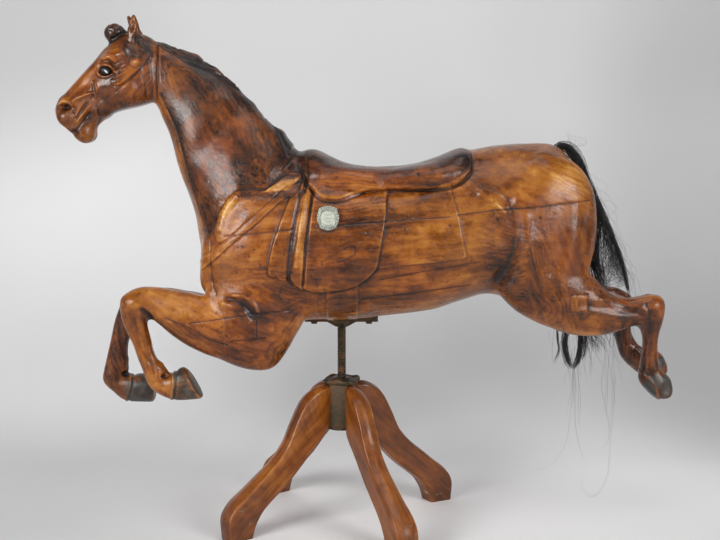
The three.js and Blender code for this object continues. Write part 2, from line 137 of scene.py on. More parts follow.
class Socket:
    """A shader value. Python's operators on it add Math nodes."""

    def __init__(self, tree, output):
        self.tree, self.output = tree, output

    def _math(self, operation, a, b=None, clamp=False):
        values = [a] if b is None else [a, b]
        return self.tree.add("ShaderNodeMath", values, operation=operation, use_clamp=clamp)

    def __add__(self, other):
        return self._math("ADD", self, other)

    def __radd__(self, other):
        return self._math("ADD", other, self)

    def __sub__(self, other):
        return self._math("SUBTRACT", self, other)

    def __rsub__(self, other):
        return self._math("SUBTRACT", other, self)

    def __mul__(self, other):
        return self._math("MULTIPLY", self, other)

    def __rmul__(self, other):
        return self._math("MULTIPLY", other, self)

    def __truediv__(self, other):
        return self._math("DIVIDE", self, other)

    def __pow__(self, other):
        return self._math("POWER", self, other)

    def abs(self):
        return self._math("ABSOLUTE", self)

    def max(self, other):
        return self._math("MAXIMUM", self, other)

    def min(self, other):
        return self._math("MINIMUM", self, other)

    def step(self, low, high):
        """Rises smoothly from 0 at low to 1 at high."""
        if low < high:
            return self.tree.add(
                "ShaderNodeMapRange", {0: self, 1: low, 2: high, 3: 0.0, 4: 1.0},
                interpolation_type="SMOOTHSTEP",
            )
        return self.tree.add(
            "ShaderNodeMapRange", {0: self, 1: high, 2: low, 3: 1.0, 4: 0.0},
            interpolation_type="SMOOTHSTEP",
        )


class Finish:
    """A material being built: its node tree and the helpers that add nodes to it."""

    def __init__(self, name):
        self.material = bpy.data.materials.new(name)
        self.material.use_nodes = True
        self.nodes = self.material.node_tree.nodes
        self.links = self.material.node_tree.links
        self.nodes.clear()
        self.shader = self.nodes.new("ShaderNodeBsdfPrincipled")
        output = self.nodes.new("ShaderNodeOutputMaterial")
        self.links.new(self.shader.outputs[0], output.inputs[0])

    def add(self, kind, values=None, out=0, stops=(), **settings):
        """Adds a node: its settings and stops first, then the values or links of its sockets."""
        node = self.nodes.new(kind)
        for place, colour in stops[2:]:
            node.color_ramp.elements.new(0.5)
        for element, (place, colour) in zip(node.color_ramp.elements if stops else (), stops):
            element.position, element.color = place, (*colour, 1.0)
        for key, value in settings.items():
            setattr(node, key, value)
        pairs = values.items() if isinstance(values, dict) else enumerate(values or [])
        for key, value in pairs:
            self.plug(node.inputs[key], value)
        return Socket(self, node.outputs[out])

    def plug(self, socket, value):
        if isinstance(value, Socket):
            self.links.new(value.output, socket)
        elif isinstance(value, (tuple, list)) and socket.type == "RGBA" and len(value) == 3:
            socket.default_value = (*value, 1.0)
        else:
            socket.default_value = value

    def attribute(self, name, vector=False):
        out = 1 if vector else 2
        return self.add("ShaderNodeAttribute", out=out, attribute_name=name)

    def place(self):
        return self.add("ShaderNodeTexCoord", out=3)

    def scaled(self, vector, scale, shift=(0, 0, 0)):
        return self.add("ShaderNodeMapping", {0: vector, 1: shift, 3: scale})

    def noise(self, vector, scale, detail=4.0, rough=0.55, warp=0.0):
        return self.add(
            "ShaderNodeTexNoise", {0: vector, 2: scale, 3: detail, 4: rough, 8: warp}
        )

    def cells(self, vector, scale, feature="F1"):
        return self.add("ShaderNodeTexVoronoi", {0: vector, 2: scale}, feature=feature)

    def mix(self, share, a, b, blend="MIX"):
        values = {0: share, 6: a, 7: b}
        return self.add("ShaderNodeMix", values, 2, data_type="RGBA", blend_type=blend)

    def ramp(self, share, stops):
        """A colour that goes through stops of (place, colour)."""
        return self.add("ShaderNodeValToRGB", [share], stops=stops)

    def parts(self, vector):
        return [self.add("ShaderNodeSeparateXYZ", [vector], out) for out in range(3)]

    def bump(self, height, depth, strength=1.0, after=None):
        values = {"Strength": strength, "Distance": depth, "Height": height}
        if after is not None:
            values["Normal"] = after
        return self.add("ShaderNodeBump", values)

    def finish(self, **inputs):
        names = {
            "color": "Base Color", "rough": "Roughness", "metal": "Metallic", "coat": "Coat Weight",
            "coat_rough": "Coat Roughness", "normal": "Normal", "ior": "IOR", "sheen": "Sheen Weight",
            "specular": "Specular IOR Level",
        }
        for key, value in inputs.items():
            self.plug(self.shader.inputs[names[key]], value)
        return self.material


# ---------------------------------------------------------------- curves and rings


def smooth_rows(rows, steps, closed=False):
    """A smooth curve through rows of numbers, with the given steps from each row to the next."""
    rows = np.asarray(rows, float)
    count = len(rows)
    padded = np.vstack([rows[-1:], rows, rows[:2]] if closed else [
        2 * rows[:1] - rows[1:2], rows, 2 * rows[-1:] - rows[-2:-1]
    ])
    out = []
    for i in range(count if closed else count - 1):
        p0, p1, p2, p3 = padded[i : i + 4]
        for t in np.arange(steps) / steps:
            out.append(0.5 * (
                2 * p1 + (p2 - p0) * t + (2 * p0 - 5 * p1 + 4 * p2 - p3) * t * t
                + (3 * p1 - p0 - 3 * p2 + p3) * t ** 3
            ))
    if not closed:
        out.append(rows[-1])
    return np.array(out)


def bulge(value, square):
    return np.sign(value) * np.abs(value) ** (2 / square)


def add_tube(bm, rings, weld=1e-4):
    """A closed tube through rings of points. rings is an array of ring, point and coordinate."""
    count, sides = rings.shape[:2]
    made = bmesh.ops.create_grid(bm, x_segments=sides, y_segments=count - 1, size=1.0)["verts"]
    for vert in made:
        s = int(round((vert.co.x + 1) / 2 * sides)) % sides
        r = int(round((vert.co.y + 1) / 2 * (count - 1)))
        vert.co = rings[r, s]
    bmesh.ops.remove_doubles(bm, verts=made, dist=weld)
    made = [v for v in made if v.is_valid]
    rims = [e for v in made for e in v.link_edges if e.is_boundary]
    bmesh.ops.holes_fill(bm, edges=list(set(rims)), sides=0)


def station_rings(rows, sides=40, square=2.2, fuller=0.0, side=1, steps=5):
    """Rings round stations of [top x, top z, low x, low z, half width, middle]."""
    rows = np.array([list(r) + [0.0] * (6 - len(r)) for r in rows], float)
    rows = smooth_rows(rows, steps)
    turn = np.linspace(0, 2 * math.pi, sides, endpoint=False)
    c, w = bulge(np.cos(turn), square), bulge(np.sin(turn), square)
    top, low = rows[:, None, 0:2], rows[:, None, 2:4]
    flat = (top + low) / 2 + (top - low) / 2 * c[None, :, None]
    y = side * rows[:, None, 5] + w * rows[:, None, 4] * (1 + fuller * c)
    return np.stack([flat[..., 0], y, flat[..., 1]], axis=-1)


# ---------------------------------------------------------------- the horse's stations

BARREL = [
    [-311, 652, -311, 552, 40], [-298, 712, -298, 516, 80], [-260, 776, -260, 482, 112],
    [-196, 810, -196, 466, 130], [-100, 812, -100, 463, 138], [0, 788, 0, 464, 140],
    [90, 784, 90, 473, 139], [190, 802, 190, 485, 137], [262, 834, 262, 505, 134],
    [325, 850, 325, 522, 132], [400, 857, 400, 505, 133], [462, 856, 462, 500, 126],
    [492, 839, 492, 520, 110], [516, 800, 516, 560, 88], [532, 745, 532, 620, 54],
]
NECK = [
    [-416, 1081, -420, 962, 41], [-385, 1074, -404, 935, 43], [-343, 1058, -392, 905, 46],
    [-294, 1031, -378, 872, 51], [-246, 993, -365, 826, 59], [-200, 951, -352, 780, 69],
    [-164, 911, -336, 735, 82], [-129, 876, -323, 690, 96], [-98, 842, -315, 640, 108],
    [-60, 800, -300, 590, 112],
]
HEAD = [
    [-398, 1074, -404, 960, 38], [-425, 1092, -416, 948, 46], [-458, 1098, -440, 940, 53],
    [-488, 1090, -462, 934, 55], [-513, 1071, -484, 929, 54], [-542, 1040, -503, 923, 48],
    [-568, 1010, -522, 910, 41], [-602, 975, -541, 893, 35], [-622, 951, -545, 875, 34],
    [-632, 932, -553, 861, 32], [-624, 910, -568, 856, 27], [-606, 892, -582, 864, 16],
]
NEAR_FORELEG = [
    [-250, 640, -70, 500, 58, 64], [-280, 568, -96, 442, 62, 66], [-298, 527, -146, 368, 56, 74],
    [-320, 533, -205, 363, 51, 78], [-345, 538, -262, 385, 46, 80], [-371, 542, -320, 407, 41, 81],
    [-400, 546, -368, 440, 36, 81], [-434, 547, -402, 468, 33, 81], [-464, 536, -420, 477, 32, 81],
    [-482, 512, -424, 466, 30, 81], [-480, 482, -420, 450, 26, 81], [-470, 450, -417, 436, 23, 81],
    [-455, 417, -411, 405, 21, 81], [-443, 380, -401, 383, 22, 81], [-431, 345, -382, 364, 24, 81],
    [-421, 323, -371, 352, 24, 81], [-400, 307, -362, 362, 27, 81], [-363, 295, -350, 371, 31, 81],
    [-302, 299, -339, 367, 33, 81],
]
FAR_FORELEG = [
    [-250, 610, -70, 510, 58, 64], [-280, 550, -100, 450, 62, 66], [-304, 510, -160, 368, 56, 74],
    [-335, 512, -222, 364, 51, 78], [-366, 517, -290, 380, 46, 80], [-400, 523, -350, 402, 41, 81],
    [-434, 525, -398, 430, 36, 81], [-466, 522, -436, 449, 33, 81], [-493, 512, -456, 458, 32, 81],
    [-512, 493, -466, 451, 30, 81], [-523, 468, -471, 439, 26, 81], [-533, 438, -484, 424, 23, 81],
    [-542, 399, -500, 396, 21, 81], [-552, 358, -502, 352, 22, 81], [-560, 326, -498, 324, 24, 81],
    [-560, 302, -494, 314, 24, 81], [-540, 280, -484, 320, 27, 81], [-508, 256, -466, 321, 31, 81],
    [-441, 253, -440, 318, 33, 81],
]
THIGH = [
    [440, 846, 300, 740, 52, 50], [500, 822, 296, 700, 62, 51], [536, 785, 300, 668, 68, 52],
    [553, 742, 308, 632, 70, 54], [559, 690, 316, 592, 71, 56], [555, 636, 322, 556, 70, 59],
    [543, 590, 356, 516, 66, 64], [545, 574, 388, 488, 62, 67], [566, 553, 440, 461, 52, 71],
]
NEAR_HIND_LEG = THIGH + [
    [590, 531, 505, 440, 43, 74], [620, 521, 570, 438, 36, 75], [655, 524, 612, 450, 33, 75],
    [690, 530, 641, 460, 31, 75], [708, 514, 654, 455, 29, 75], [705, 474, 661, 440, 26, 75],
    [697, 442, 663, 422, 23, 75], [696, 403, 659, 388, 22, 75], [700, 370, 656, 360, 25, 75],
    [714, 355, 654, 344, 26, 75], [727, 342, 660, 330, 29, 75], [732, 314, 680, 308, 32, 75],
    [726, 302, 696, 296, 30, 75],
]
FAR_HIND_LEG = THIGH + [
    [590, 533, 505, 449, 43, 74], [620, 529, 566, 448, 36, 75], [650, 520, 604, 452, 33, 75],
    [672, 505, 622, 452, 31, 75], [678, 470, 628, 436, 28, 75], [673, 432, 633, 414, 24, 75],
    [682, 404, 642, 386, 22, 75], [698, 386, 653, 358, 24, 75], [722, 377, 670, 340, 26, 75],
    [746, 372, 690, 324, 29, 75], [760, 342, 716, 314, 32, 75], [762, 326, 738, 312, 28, 75],
]


def add_ball(bm, centre, radii, turn=0.0):
    made = bmesh.ops.create_icosphere(bm, subdivisions=4, radius=1.0)["verts"]
    bmesh.ops.scale(bm, verts=made, vec=radii)
    bmesh.ops.rotate(bm, verts=made, matrix=rotation_y(turn))
    bmesh.ops.translate(bm, verts=made, vec=centre)


def rotation_y(degrees):
    return Matrix.Rotation(math.radians(degrees), 3, "Y")


def add_ear(bm, side, lean, tip):
    """A short upright ear that leans forward by the given amount at its tip."""
    base = 1070
    rows = smooth_rows([
        [0.0, 17, 13], [0.3, 16, 12], [0.5, 14, 11], [0.7, 10.5, 9], [0.86, 7, 6.5], [1.0, 3.0, 3.0],
    ], 5)
    turn = np.linspace(0, 2 * math.pi, 24, endpoint=False)
    share, long, wide = (rows[:, i : i + 1] for i in range(3))
    rings = np.stack([
        -449 - lean * share ** 1.5 + long * np.cos(turn),
        side * (30 + 4 * share) + wide * np.sin(turn),
        base + (tip - base) * share + 0 * turn,
    ], axis=-1)
    add_tube(bm, rings)


def rough_out():
    """The horse's main forms, overlapping one another, in one mesh."""
    bm = bmesh.new()
    add_tube(bm, station_rings(BARREL, sides=72, square=2.3, fuller=-0.04))
    add_tube(bm, station_rings(NECK, sides=56, square=2.2, fuller=-0.12))
    add_tube(bm, station_rings(HEAD, sides=56, square=2.4, fuller=-0.08))
    add_tube(bm, station_rings(NEAR_FORELEG, square=2.3, side=NEAR))
    add_tube(bm, station_rings(FAR_FORELEG, square=2.3, side=FAR))
    add_tube(bm, station_rings(NEAR_HIND_LEG, square=2.3, side=NEAR))
    add_tube(bm, station_rings(FAR_HIND_LEG, square=2.3, side=FAR))
    add_ball(bm, (-497, 0, 1097), (24, 25, 23))
    add_ball(bm, (-482, 0, 1088), (22, 21, 16))
    add_tube(bm, saddle_rings())
    add_ear(bm, NEAR, -1, 1137)
    add_ear(bm, FAR, 26, 1141)
    for vert in bm.verts:
        vert.co = Vector(np.array(vert.co) * MM + ORIGIN)
    bmesh.ops.recalc_face_normals(bm, faces=bm.faces)
    mesh = bpy.data.meshes.new("rough")
    bm.to_mesh(mesh)
    bm.free()
    return mesh


def with_modifier(mesh, kind, **settings):
    """The mesh after one modifier, as a new mesh."""
    holder = bpy.data.objects.new("holder", mesh)
    bpy.context.scene.collection.objects.link(holder)
    modifier = holder.modifiers.new("work", kind)
    for key, value in settings.items():
        setattr(modifier, key, value)
    graph = bpy.context.evaluated_depsgraph_get()
    made = bpy.data.meshes.new_from_object(holder.evaluated_get(graph), depsgraph=graph)
    bpy.data.objects.remove(holder)
    bpy.data.meshes.remove(mesh)
    return made


# ---------------------------------------------------------------- carving tools


class Carving:
    """A dense mesh that is carved by moving its points along their normals."""

    def __init__(self, mesh):
        self.mesh = mesh
        self.count = len(mesh.vertices)
        self.read()
        ends = np.empty(len(mesh.edges) * 2, np.int32)
        mesh.edges.foreach_get("vertices", ends)
        self.ends = ends.reshape(-1, 2)
        self.degree = np.bincount(self.ends.ravel(), minlength=self.count).astype(float)
        self.masks = {}

    def read(self):
        flat = np.empty(self.count * 3)
        self.mesh.vertices.foreach_get("co", flat)
        self.co = (flat.reshape(-1, 3) - ORIGIN) / MM
        self.mesh.vertices.foreach_get("normal", flat)
        self.normal = flat.reshape(-1, 3).copy()
        self.offset = np.zeros(self.count)

    def mask(self, name):
        return self.masks.setdefault(name, np.zeros(self.count))

    def average(self, values):
        """Each point's mean of its neighbours' values."""
        a, b = self.ends.T
        total = [
            np.bincount(a, v[b], self.count) + np.bincount(b, v[a], self.count)
            for v in values.reshape(self.count, -1).T
        ]
        return (np.array(total) / self.degree).T.reshape(values.shape)

    def relax(self, rounds, weight=0.5):
        share = weight if np.isscalar(weight) else weight[:, None]
        for _ in range(rounds):
            self.co += (self.average(self.co) - self.co) * share

    def apply(self):
        """Moves the points by the gathered offsets and reads the new normals."""
        self.co += self.normal * self.offset[:, None]
        self.write()
        self.read()

    def write(self):
        flat = (self.co * MM + ORIGIN).ravel()
        self.mesh.vertices.foreach_set("co", flat)
        self.mesh.update()

    # -- where a tool bites --

    def facing(self, side, start=0.0, full=0.35):
        if side == 0:
            return np.ones(self.count)
        return ramp(self.normal[:, 1] * side, start, full)

    def near(self, low, high, margin):
        x, z = self.co[:, 0], self.co[:, 2]
        inside = (x > low[0] - margin) & (x < high[0] + margin)
        return np.nonzero(inside & (z > low[1] - margin) & (z < high[1] + margin))[0]

    def bite(self, index, amount, side, grime_and_shade=0.0, shade=None, depth_range=None, worn_and_highlit=0.0):
        if side:
            amount = amount * self.facing(side)[index] if shade is None else amount * shade
        if depth_range is not None:
            y = self.co[index, 1] * (side or 1)
            amount = amount * ((y > depth_range[0]) & (y < depth_range[1]))
        self.offset[index] += amount
        share = np.abs(amount) / (np.abs(amount).max() + 1e-9)
        # The first mask darkens: dirt in the carving, and painted shade in grooves, holes and hollows. The second
        # lightens: wear, and painted highlights on ridges and edges.
        for name, strength in (("grime_and_shade", grime_and_shade), ("worn_and_highlit", worn_and_highlit)):
            if strength:
                mask = self.mask(name)
                mask[index] = np.maximum(mask[index], share * strength)

    def line(self, points, width, depth, side=NEAR, grime_and_shade=0.8, steps=6, taper=False, y=None, worn_and_highlit=0):
        """Cuts a groove along a line on the flank, or raises a ridge where depth is negative."""
        path = smooth_rows(points, steps) if len(points) > 2 else np.asarray(points, float)
        index = self.near(path.min(0), path.max(0), width * 3)
        if not len(index):
            return
        flat = self.co[index][:, [0, 2]]
        gap, along = path_distance(flat, path)
        cut = np.exp(-((gap / width) ** 2))
        if taper:
            cut = cut * np.sin(np.clip(along, 0.02, 0.98) * math.pi) ** 0.6
        self.bite(index, -depth * cut, side, grime_and_shade, depth_range=y, worn_and_highlit=worn_and_highlit)

    def panel(self, outline, side=NEAR, edge=2.5, steps=5, sharp=False):
        """How far inside an outline on the flank each point is, from 0 outside to 1 inside."""
        path = np.asarray(outline, float) if sharp else smooth_rows(outline, steps, closed=True)
        inside = np.zeros(self.count)
        index = self.near(path.min(0), path.max(0), edge * 2)
        flat = self.co[index][:, [0, 2]]
        gap, _ = path_distance(flat, np.vstack([path, path[:1]]))
        sign = np.where(in_outline(flat, path), 1, -1)
        inside[index] = ramp(gap * sign, -edge, edge) * self.facing(side, 0.0, 0.15)[index]
        return inside

    def swell(self, centre, radii, rise, side=NEAR, turn=0.0, grime_and_shade=0.0, worn_and_highlit=0.0):
        """Raises a soft mound, or sinks a hollow, round a point on the flank."""
        reach = max(radii) * 2.4
        index = self.near(np.array(centre), np.array(centre), reach)
        dx = self.co[index, 0] - centre[0]
        dz = self.co[index, 2] - centre[1]
        c, s = math.cos(math.radians(turn)), math.sin(math.radians(turn))
        u, v = (dx * c + dz * s) / radii[0], (-dx * s + dz * c) / radii[1]
        self.bite(index, rise * np.exp(-(u * u + v * v)), side, grime_and_shade, worn_and_highlit=worn_and_highlit)

    def soften(self, spots, rounds):
        """Relaxes the surface round spots of [x, z, reach in x, reach in z]."""
        x, _, z = self.co.T
        share = np.zeros(self.count)
        for cx, cz, wide, high in spots:
            share = np.maximum(share, np.exp(-(((x - cx) / wide) ** 2) - ((z - cz) / high) ** 2))
        self.relax(rounds, 0.5 * share)
        self.write()
        self.read()


def ramp(value, low, high):
    t = np.clip((value - low) / (high - low), 0, 1)
    return t * t * (3 - 2 * t)


def path_distance(points, path):
    """Distance of each point from a path, and how far along the path its nearest place is."""
    best = np.full(len(points), 1e9)
    along = np.zeros(len(points))
    spans = len(path) - 1
    for i in range(spans):
        a, d = path[i], path[i + 1] - path[i]
        t = np.clip(((points - a) @ d) / max(d @ d, 1e-9), 0, 1)
        gap = np.linalg.norm(points - a - t[:, None] * d, axis=1)
        closer = gap < best
        best[closer] = gap[closer]
        along[closer] = (i + t[closer]) / spans
    return best, along


def in_outline(points, path):
    x, z = points.T
    inside = np.zeros(len(points), bool)
    for (x0, z0), (x1, z1) in zip(path, np.roll(path, -1, axis=0)):
        crosses = (z0 > z) != (z1 > z)
        rise = (z1 - z0) if abs(z1 - z0) > 1e-9 else 1e-9
        inside ^= crosses & (x < (x1 - x0) * (z - z0) / rise + x0)
    return inside


# ---------------------------------------------------------------- carving the horse

SADDLE = [
    [-90, 836, 810, 56], [-70, 845, 790, 80], [-48, 840, 780, 92], [-10, 822, 770, 100],
    [40, 804, 766, 104], [92, 798, 764, 104], [146, 807, 768, 106], [194, 821, 776, 108],
    [235, 836, 790, 106], [264, 847, 802, 98], [280, 843, 814, 84], [290, 832, 816, 60],
]
HEM = [
    [-73, 821], [-72, 772], [-59, 756], [-43, 741], [-22, 736], [3, 737], [29, 746], [50, 755],
    [76, 760], [126, 761], [190, 760], [232, 764], [258, 776], [276, 794], [282, 817], [280, 836],
]
FLAP = [
    [-58, 746], [-68, 675], [-80, 549], [-55, 541], [-23, 541], [10, 546], [35, 555], [56, 569],
    [73, 586], [80, 599], [88, 644], [97, 696], [101, 759], [60, 790], [-40, 790],
]
KNEE_ROLL = [
    [-70, 772], [-62, 746], [-70, 675], [-81, 547], [-101, 560], [-109, 575], [-91, 661], [-74, 756],
]
FRONT_FLAP = [
    [-78, 770], [-89, 758], [-108, 741], [-128, 692], [-145, 643], [-154, 598], [-153, 578],
    [-137, 572], [-112, 572], [-90, 650],
]
CLOTH = [
    [60, 775], [237, 775], [237, 756], [251, 704], [262, 653], [269, 619], [263, 612], [212, 606],
    [127, 598], [84, 592], [60, 610],
]
GIRTH = [[-31, 560], [-31, 470], [-29, 440], [36, 440], [37, 470], [37, 560]]
PAD = [
    [-90, 792], [-121, 788], [-163, 757], [-212, 757], [-230, 748], [-247, 728], [-259, 706], [-266, 682],
    [-267, 662], [-259, 648], [-231, 660], [-160, 724], [-124, 758], [-86, 778],
]
STRAP_TOP = [[-84, 778], [-126, 757], [-163, 723], [-199, 692], [-231, 662], [-278, 626], [-306, 604]]
STRAP_LOW = [
    [-74, 760], [-121, 737], [-149, 713], [-185, 681], [-203, 667], [-239, 636], [-268, 610], [-300, 584],
]
CREST = [
    [-420, 1096], [-398, 1083], [-359, 1072], [-331, 1054], [-309, 1041], [-284, 1035], [-263, 1018],
    [-245, 1000], [-223, 989], [-201, 968], [-188, 948], [-158, 917], [-131, 887], [-108, 853],
]
MANE_EDGE = [
    [-395, 1068], [-368, 1053], [-328, 1028], [-275, 1007], [-232, 977], [-200, 954], [-174, 926],
    [-152, 899], [-133, 864], [-115, 825],
]
NECK_STRIP = [[-394, 965], [-382, 940], [-359, 886], [-346, 843], [-329, 778], [-314, 734], [-300, 690]]
EYE = {"x": -509, "z": 1013, "y": 44.5, "long": 13.5, "deep": 9, "high": 12}


def saddle_rings():
    """The seat: each section is an arch with its hem at the skirt's edge."""
    rows = smooth_rows(SADDLE, 6)
    turn = np.linspace(0, math.pi, 41)
    x, top, low, half = (rows[:, i : i + 1] for i in range(4))
    y = half * bulge(np.cos(turn), 2.6)[None]
    z = low + (top - low) * bulge(np.sin(turn), 2.6)[None]
    drop = np.minimum(40, half / 3)
    under = np.stack([np.hstack([-0.6 * half, 0.6 * half]), np.hstack([low - drop] * 2)], axis=-1)
    flat = np.concatenate([np.stack([y, z], axis=-1), under], axis=1)
    return np.concatenate([np.repeat(x, flat.shape[1], axis=1)[..., None], flat], axis=2)


def carve_forms(c):
    """The muscles and hollows of the body and legs."""
    for side in (NEAR, FAR):
        c.swell((-205, 610), (60, 75), 7, side)
        c.swell((-150, 520), (55, 34), 5, side)
        c.swell((-255, 700), (34, 60), -4, side, turn=-60)
        c.swell((-300, 560), (26, 32), 6, side)
        c.swell((-120, 780), (34, 24), -3, side)
        c.swell((338, 640), (26, 60), -9, side, turn=8)
        c.swell((322, 715), (40, 26), 4, side, turn=20)
        c.swell((450, 770), (70, 46), 5, side)
        c.swell((400, 620), (46, 60), 6, side)
        c.swell((505, 650), (30, 90), 4, side)
        c.swell((470, 505), (60, 26), 4, side, turn=-10)
        c.swell((160, 660), (150, 70), -2, side)
        c.swell((-330, 860), (40, 90), 4, side, turn=-25)
        c.swell((-250, 900), (30, 80), -3, side, turn=-50)
        c.swell((-200, 820), (50, 60), 3, side)
    c.apply()
    c.soften([[322, 590, 34, 55], [-92, 800, 22, 34], [-240, 560, 40, 30]], 40)


def carve_head(c):
    """The face, its harness and its ears, alike on both sides."""
    sides = (NEAR, FAR)
    for side in sides:
        c.swell((-508, 1013), (26, 20), -5, side)
        c.swell((-500, 1042), (24, 10), 6.5, side, turn=12)
        c.swell((-530, 1030), (12, 22), -2.5, side, turn=-40)
        c.swell((-458, 970), (30, 28), 8, side)
        c.swell((-441, 984), (9, 9), -2, side, grime_and_shade=0.35)
        c.swell((-549, 990), (26, 12), -4.5, side, turn=48)
        c.swell((-520, 955), (22, 11), -4, side, turn=40)
        c.swell((-606, 950), (19, 11), 6, side)
        c.swell((-572, 958), (22, 10), 4.5, side, turn=40)
        c.swell((-610, 912), (15, 14), 5, side)
        c.swell((-590, 898), (12, 10), -2.5, side)
        c.swell((-562, 874), (18, 12), 5.5, side)
        c.swell((-470, 1005), (26, 10), 3.5, side, turn=38)
        c.swell((-530, 925), (26, 9), 3.5, side, turn=-24)
    c.apply()
    for side in sides:
        carve_eye(c, side)
        carve_mouth(c, side)
        carve_ribbons(c, side)
        # The nostril's hole is darkened with painted shade.
        c.swell((-602, 935), (11, 5), -11, side, turn=-4, grime_and_shade=1)
        c.line([[-616, 942], [-606, 948], [-594, 946], [-586, 940]], 3.2, -4.5, side, grime_and_shade=0, worn_and_highlit=0.8)
        c.line([[-588, 944], [-581, 934], [-583, 924]], 2.6, 2.4, side, grime_and_shade=0.5)
        c.line([[-532, 986], [-529, 972], [-533, 958]], 2.2, -3.0, side, grime_and_shade=0, worn_and_highlit=0.8)
        c.line([[-539, 988], [-537, 972], [-541, 956]], 3.4, 2.4, side, grime_and_shade=0.35)
        c.line([[-584, 948], [-570, 956], [-554, 962], [-538, 966]], 3.4, -3.2, side, grime_and_shade=0, worn_and_highlit=0.7)
        c.line([[-431, 1014], [-423, 988], [-423, 958]], 3.2, 2.0, side, grime_and_shade=0.3)
        c.line([[-436, 1084], [-418, 1058], [-411, 1026], [-410, 994], [-411, 955]], 1.6, 1.0, side, grime_and_shade=0.3)
        c.line([[-400, 1078], [-397, 1050], [-398, 1000], [-401, 950]], 2.4, 3.2, side, grime_and_shade=0.55)
        c.line([[-408, 1076], [-404, 1050], [-404, 1010], [-406, 960]], 3.4, -2.2, side, grime_and_shade=0, worn_and_highlit=0.5)
        c.line([[-415, 1042], [-434, 1014], [-462, 988], [-486, 968]], 1.8, 2.4, side, grime_and_shade=0.55)
        c.line([[-440, 1016], [-462, 998], [-480, 982]], 4.0, -2.6, side, grime_and_shade=0)
    c.swell((-584, 880), (7, 5), -8, 0, grime_and_shade=0.5)
    for side in sides:
        c.swell((-450, 1112), (6.5, 16), -7, side, turn=-8)
        c.swell((-441, 1080), (6, 9), -6, side, grime_and_shade=1)
    carve_forelock(c)
    c.apply()


def carve_mouth(c, side):
    """The lips' folds and the open corner of the mouth."""
    c.line([[-578, 918], [-570, 933], [-558, 948]], 2.8, -3.4, side, grime_and_shade=0, worn_and_highlit=1)
    c.line([[-576, 904], [-562, 922], [-545, 939]], 2.8, -3.8, side, grime_and_shade=0, worn_and_highlit=1)
    c.line([[-577, 911], [-566, 927], [-550, 944]], 1.8, 1.6, side, grime_and_shade=0.5)
    c.line([[-588, 884], [-577, 890], [-566, 902], [-548, 924]], 2.0, 2.6, side, grime_and_shade=0.8)
    # The mouth's corner is darkened with painted shade.
    c.swell((-553, 912), (15, 9), -4, side, turn=48, grime_and_shade=0.7)
    c.swell((-558, 903), (6, 3.5), 3.0, side, turn=30)
    c.line([[-534, 934], [-533, 918], [-541, 904]], 3.0, -3.0, side, grime_and_shade=0)
    c.line([[-527, 928], [-528, 912], [-537, 896]], 3.2, 2.2, side, grime_and_shade=0.4)


def carve_eye(c, side):
    """The socket, the heavy lids and the fan of folds behind the glass eye."""
    x, z = EYE["x"], EYE["z"]
    # The socket is sunk and darkened with painted shade; the lids and brow get painted highlights through the wear
    # mask.
    c.swell((x, z), (14, 11), -7, side, grime_and_shade=0.9)
    lid = [[-525, 1012], [-520, 1022], [-511, 1027], [-499, 1025], [-490, 1017], [-483, 1008]]
    c.line(np.array(lid) + [0, -1.5], 4.0, -7.5, side, grime_and_shade=0, worn_and_highlit=0.5)
    c.line([[-524, 1005], [-515, 1000], [-504, 1000], [-494, 1004]], 3.2, -5.5, side, grime_and_shade=0, worn_and_highlit=0.3)
    c.line([[px - 1, pz + 8] for px, pz in lid], 2.8, 2.6, side, grime_and_shade=0.35)
    c.line([[-512, 1038], [-498, 1042], [-486, 1034]], 4.0, -3.5, side, grime_and_shade=0, worn_and_highlit=0.8)
    c.swell((-473, 1048), (8, 7), 4.5, side, worn_and_highlit=0.4)
    c.line([[-504, 1052], [-490, 1056], [-478, 1058]], 3.0, -1.8, side, grime_and_shade=0, worn_and_highlit=0.5)
    for fold in (
        [[-496, 1013], [-485, 1020], [-470, 1029]], [[-494, 1004], [-481, 1011], [-466, 1020]],
        [[-494, 994], [-480, 1000], [-462, 1011]], [[-494, 985], [-478, 984], [-464, 994]],
    ):
        c.line(fold, 2.3, -3.0, side, grime_and_shade=0, taper=True, worn_and_highlit=0.9)
        c.line(np.array(fold) + [2, -4], 1.6, 1.4, side, grime_and_shade=0.35, taper=True)


def carve_ribbons(c, side):
    """Two leaf-shaped ends of ribbon that hang from the poll to a plain oval boss."""
    for (x, z), (long, wide), turn, rise in (
        ((-455, 1056), (20, 7.5), -52, 5.0), ((-422, 1058), (13, 6.5), -48, 4.0),
    ):
        c.swell((x, z), (long * 1.25, wide * 1.6), -0.01, side, turn=turn, grime_and_shade=0.75)
        c.swell((x, z), (long, wide), rise, side, turn=turn, worn_and_highlit=0.35)
    x, z, long, high = -441, 1031, 12, 10
    turn = np.linspace(0, 2 * math.pi, 17)
    ring = np.stack([x + 1.1 * long * np.cos(turn), z + 1.15 * high * np.sin(turn)], axis=1)
    c.line(ring, 2.2, 1.6, side, steps=3, grime_and_shade=0.35)
    c.swell((x, z), (long * 0.72, high * 0.72), 6.5, side, turn=20, worn_and_highlit=1)


def carve_forelock(c):
    """The rolled forelock: a shallow turn on each side and combed grooves over the top."""
    for side in (NEAR, FAR):
        turn = np.linspace(0.6, 2.7 * math.pi, 18)
        radius = 4 + turn * 1.9
        curl = np.stack([-500 + radius * np.cos(turn), 1096 + 0.9 * radius * np.sin(turn)], axis=1)
        c.line(curl, 2.4, 1.0, side, steps=2, grime_and_shade=0.2)
        c.line([[-511, 1070], [-500, 1082], [-487, 1088], [-472, 1100]], 3.4, 4.0, side, grime_and_shade=1)
    for lock in (
        [[-486, 1116], [-480, 1108], [-474, 1100]], [[-503, 1119], [-510, 1108], [-515, 1094]],
    ):
        c.line(lock, 2.0, 1.6, 0, grime_and_shade=0.4)


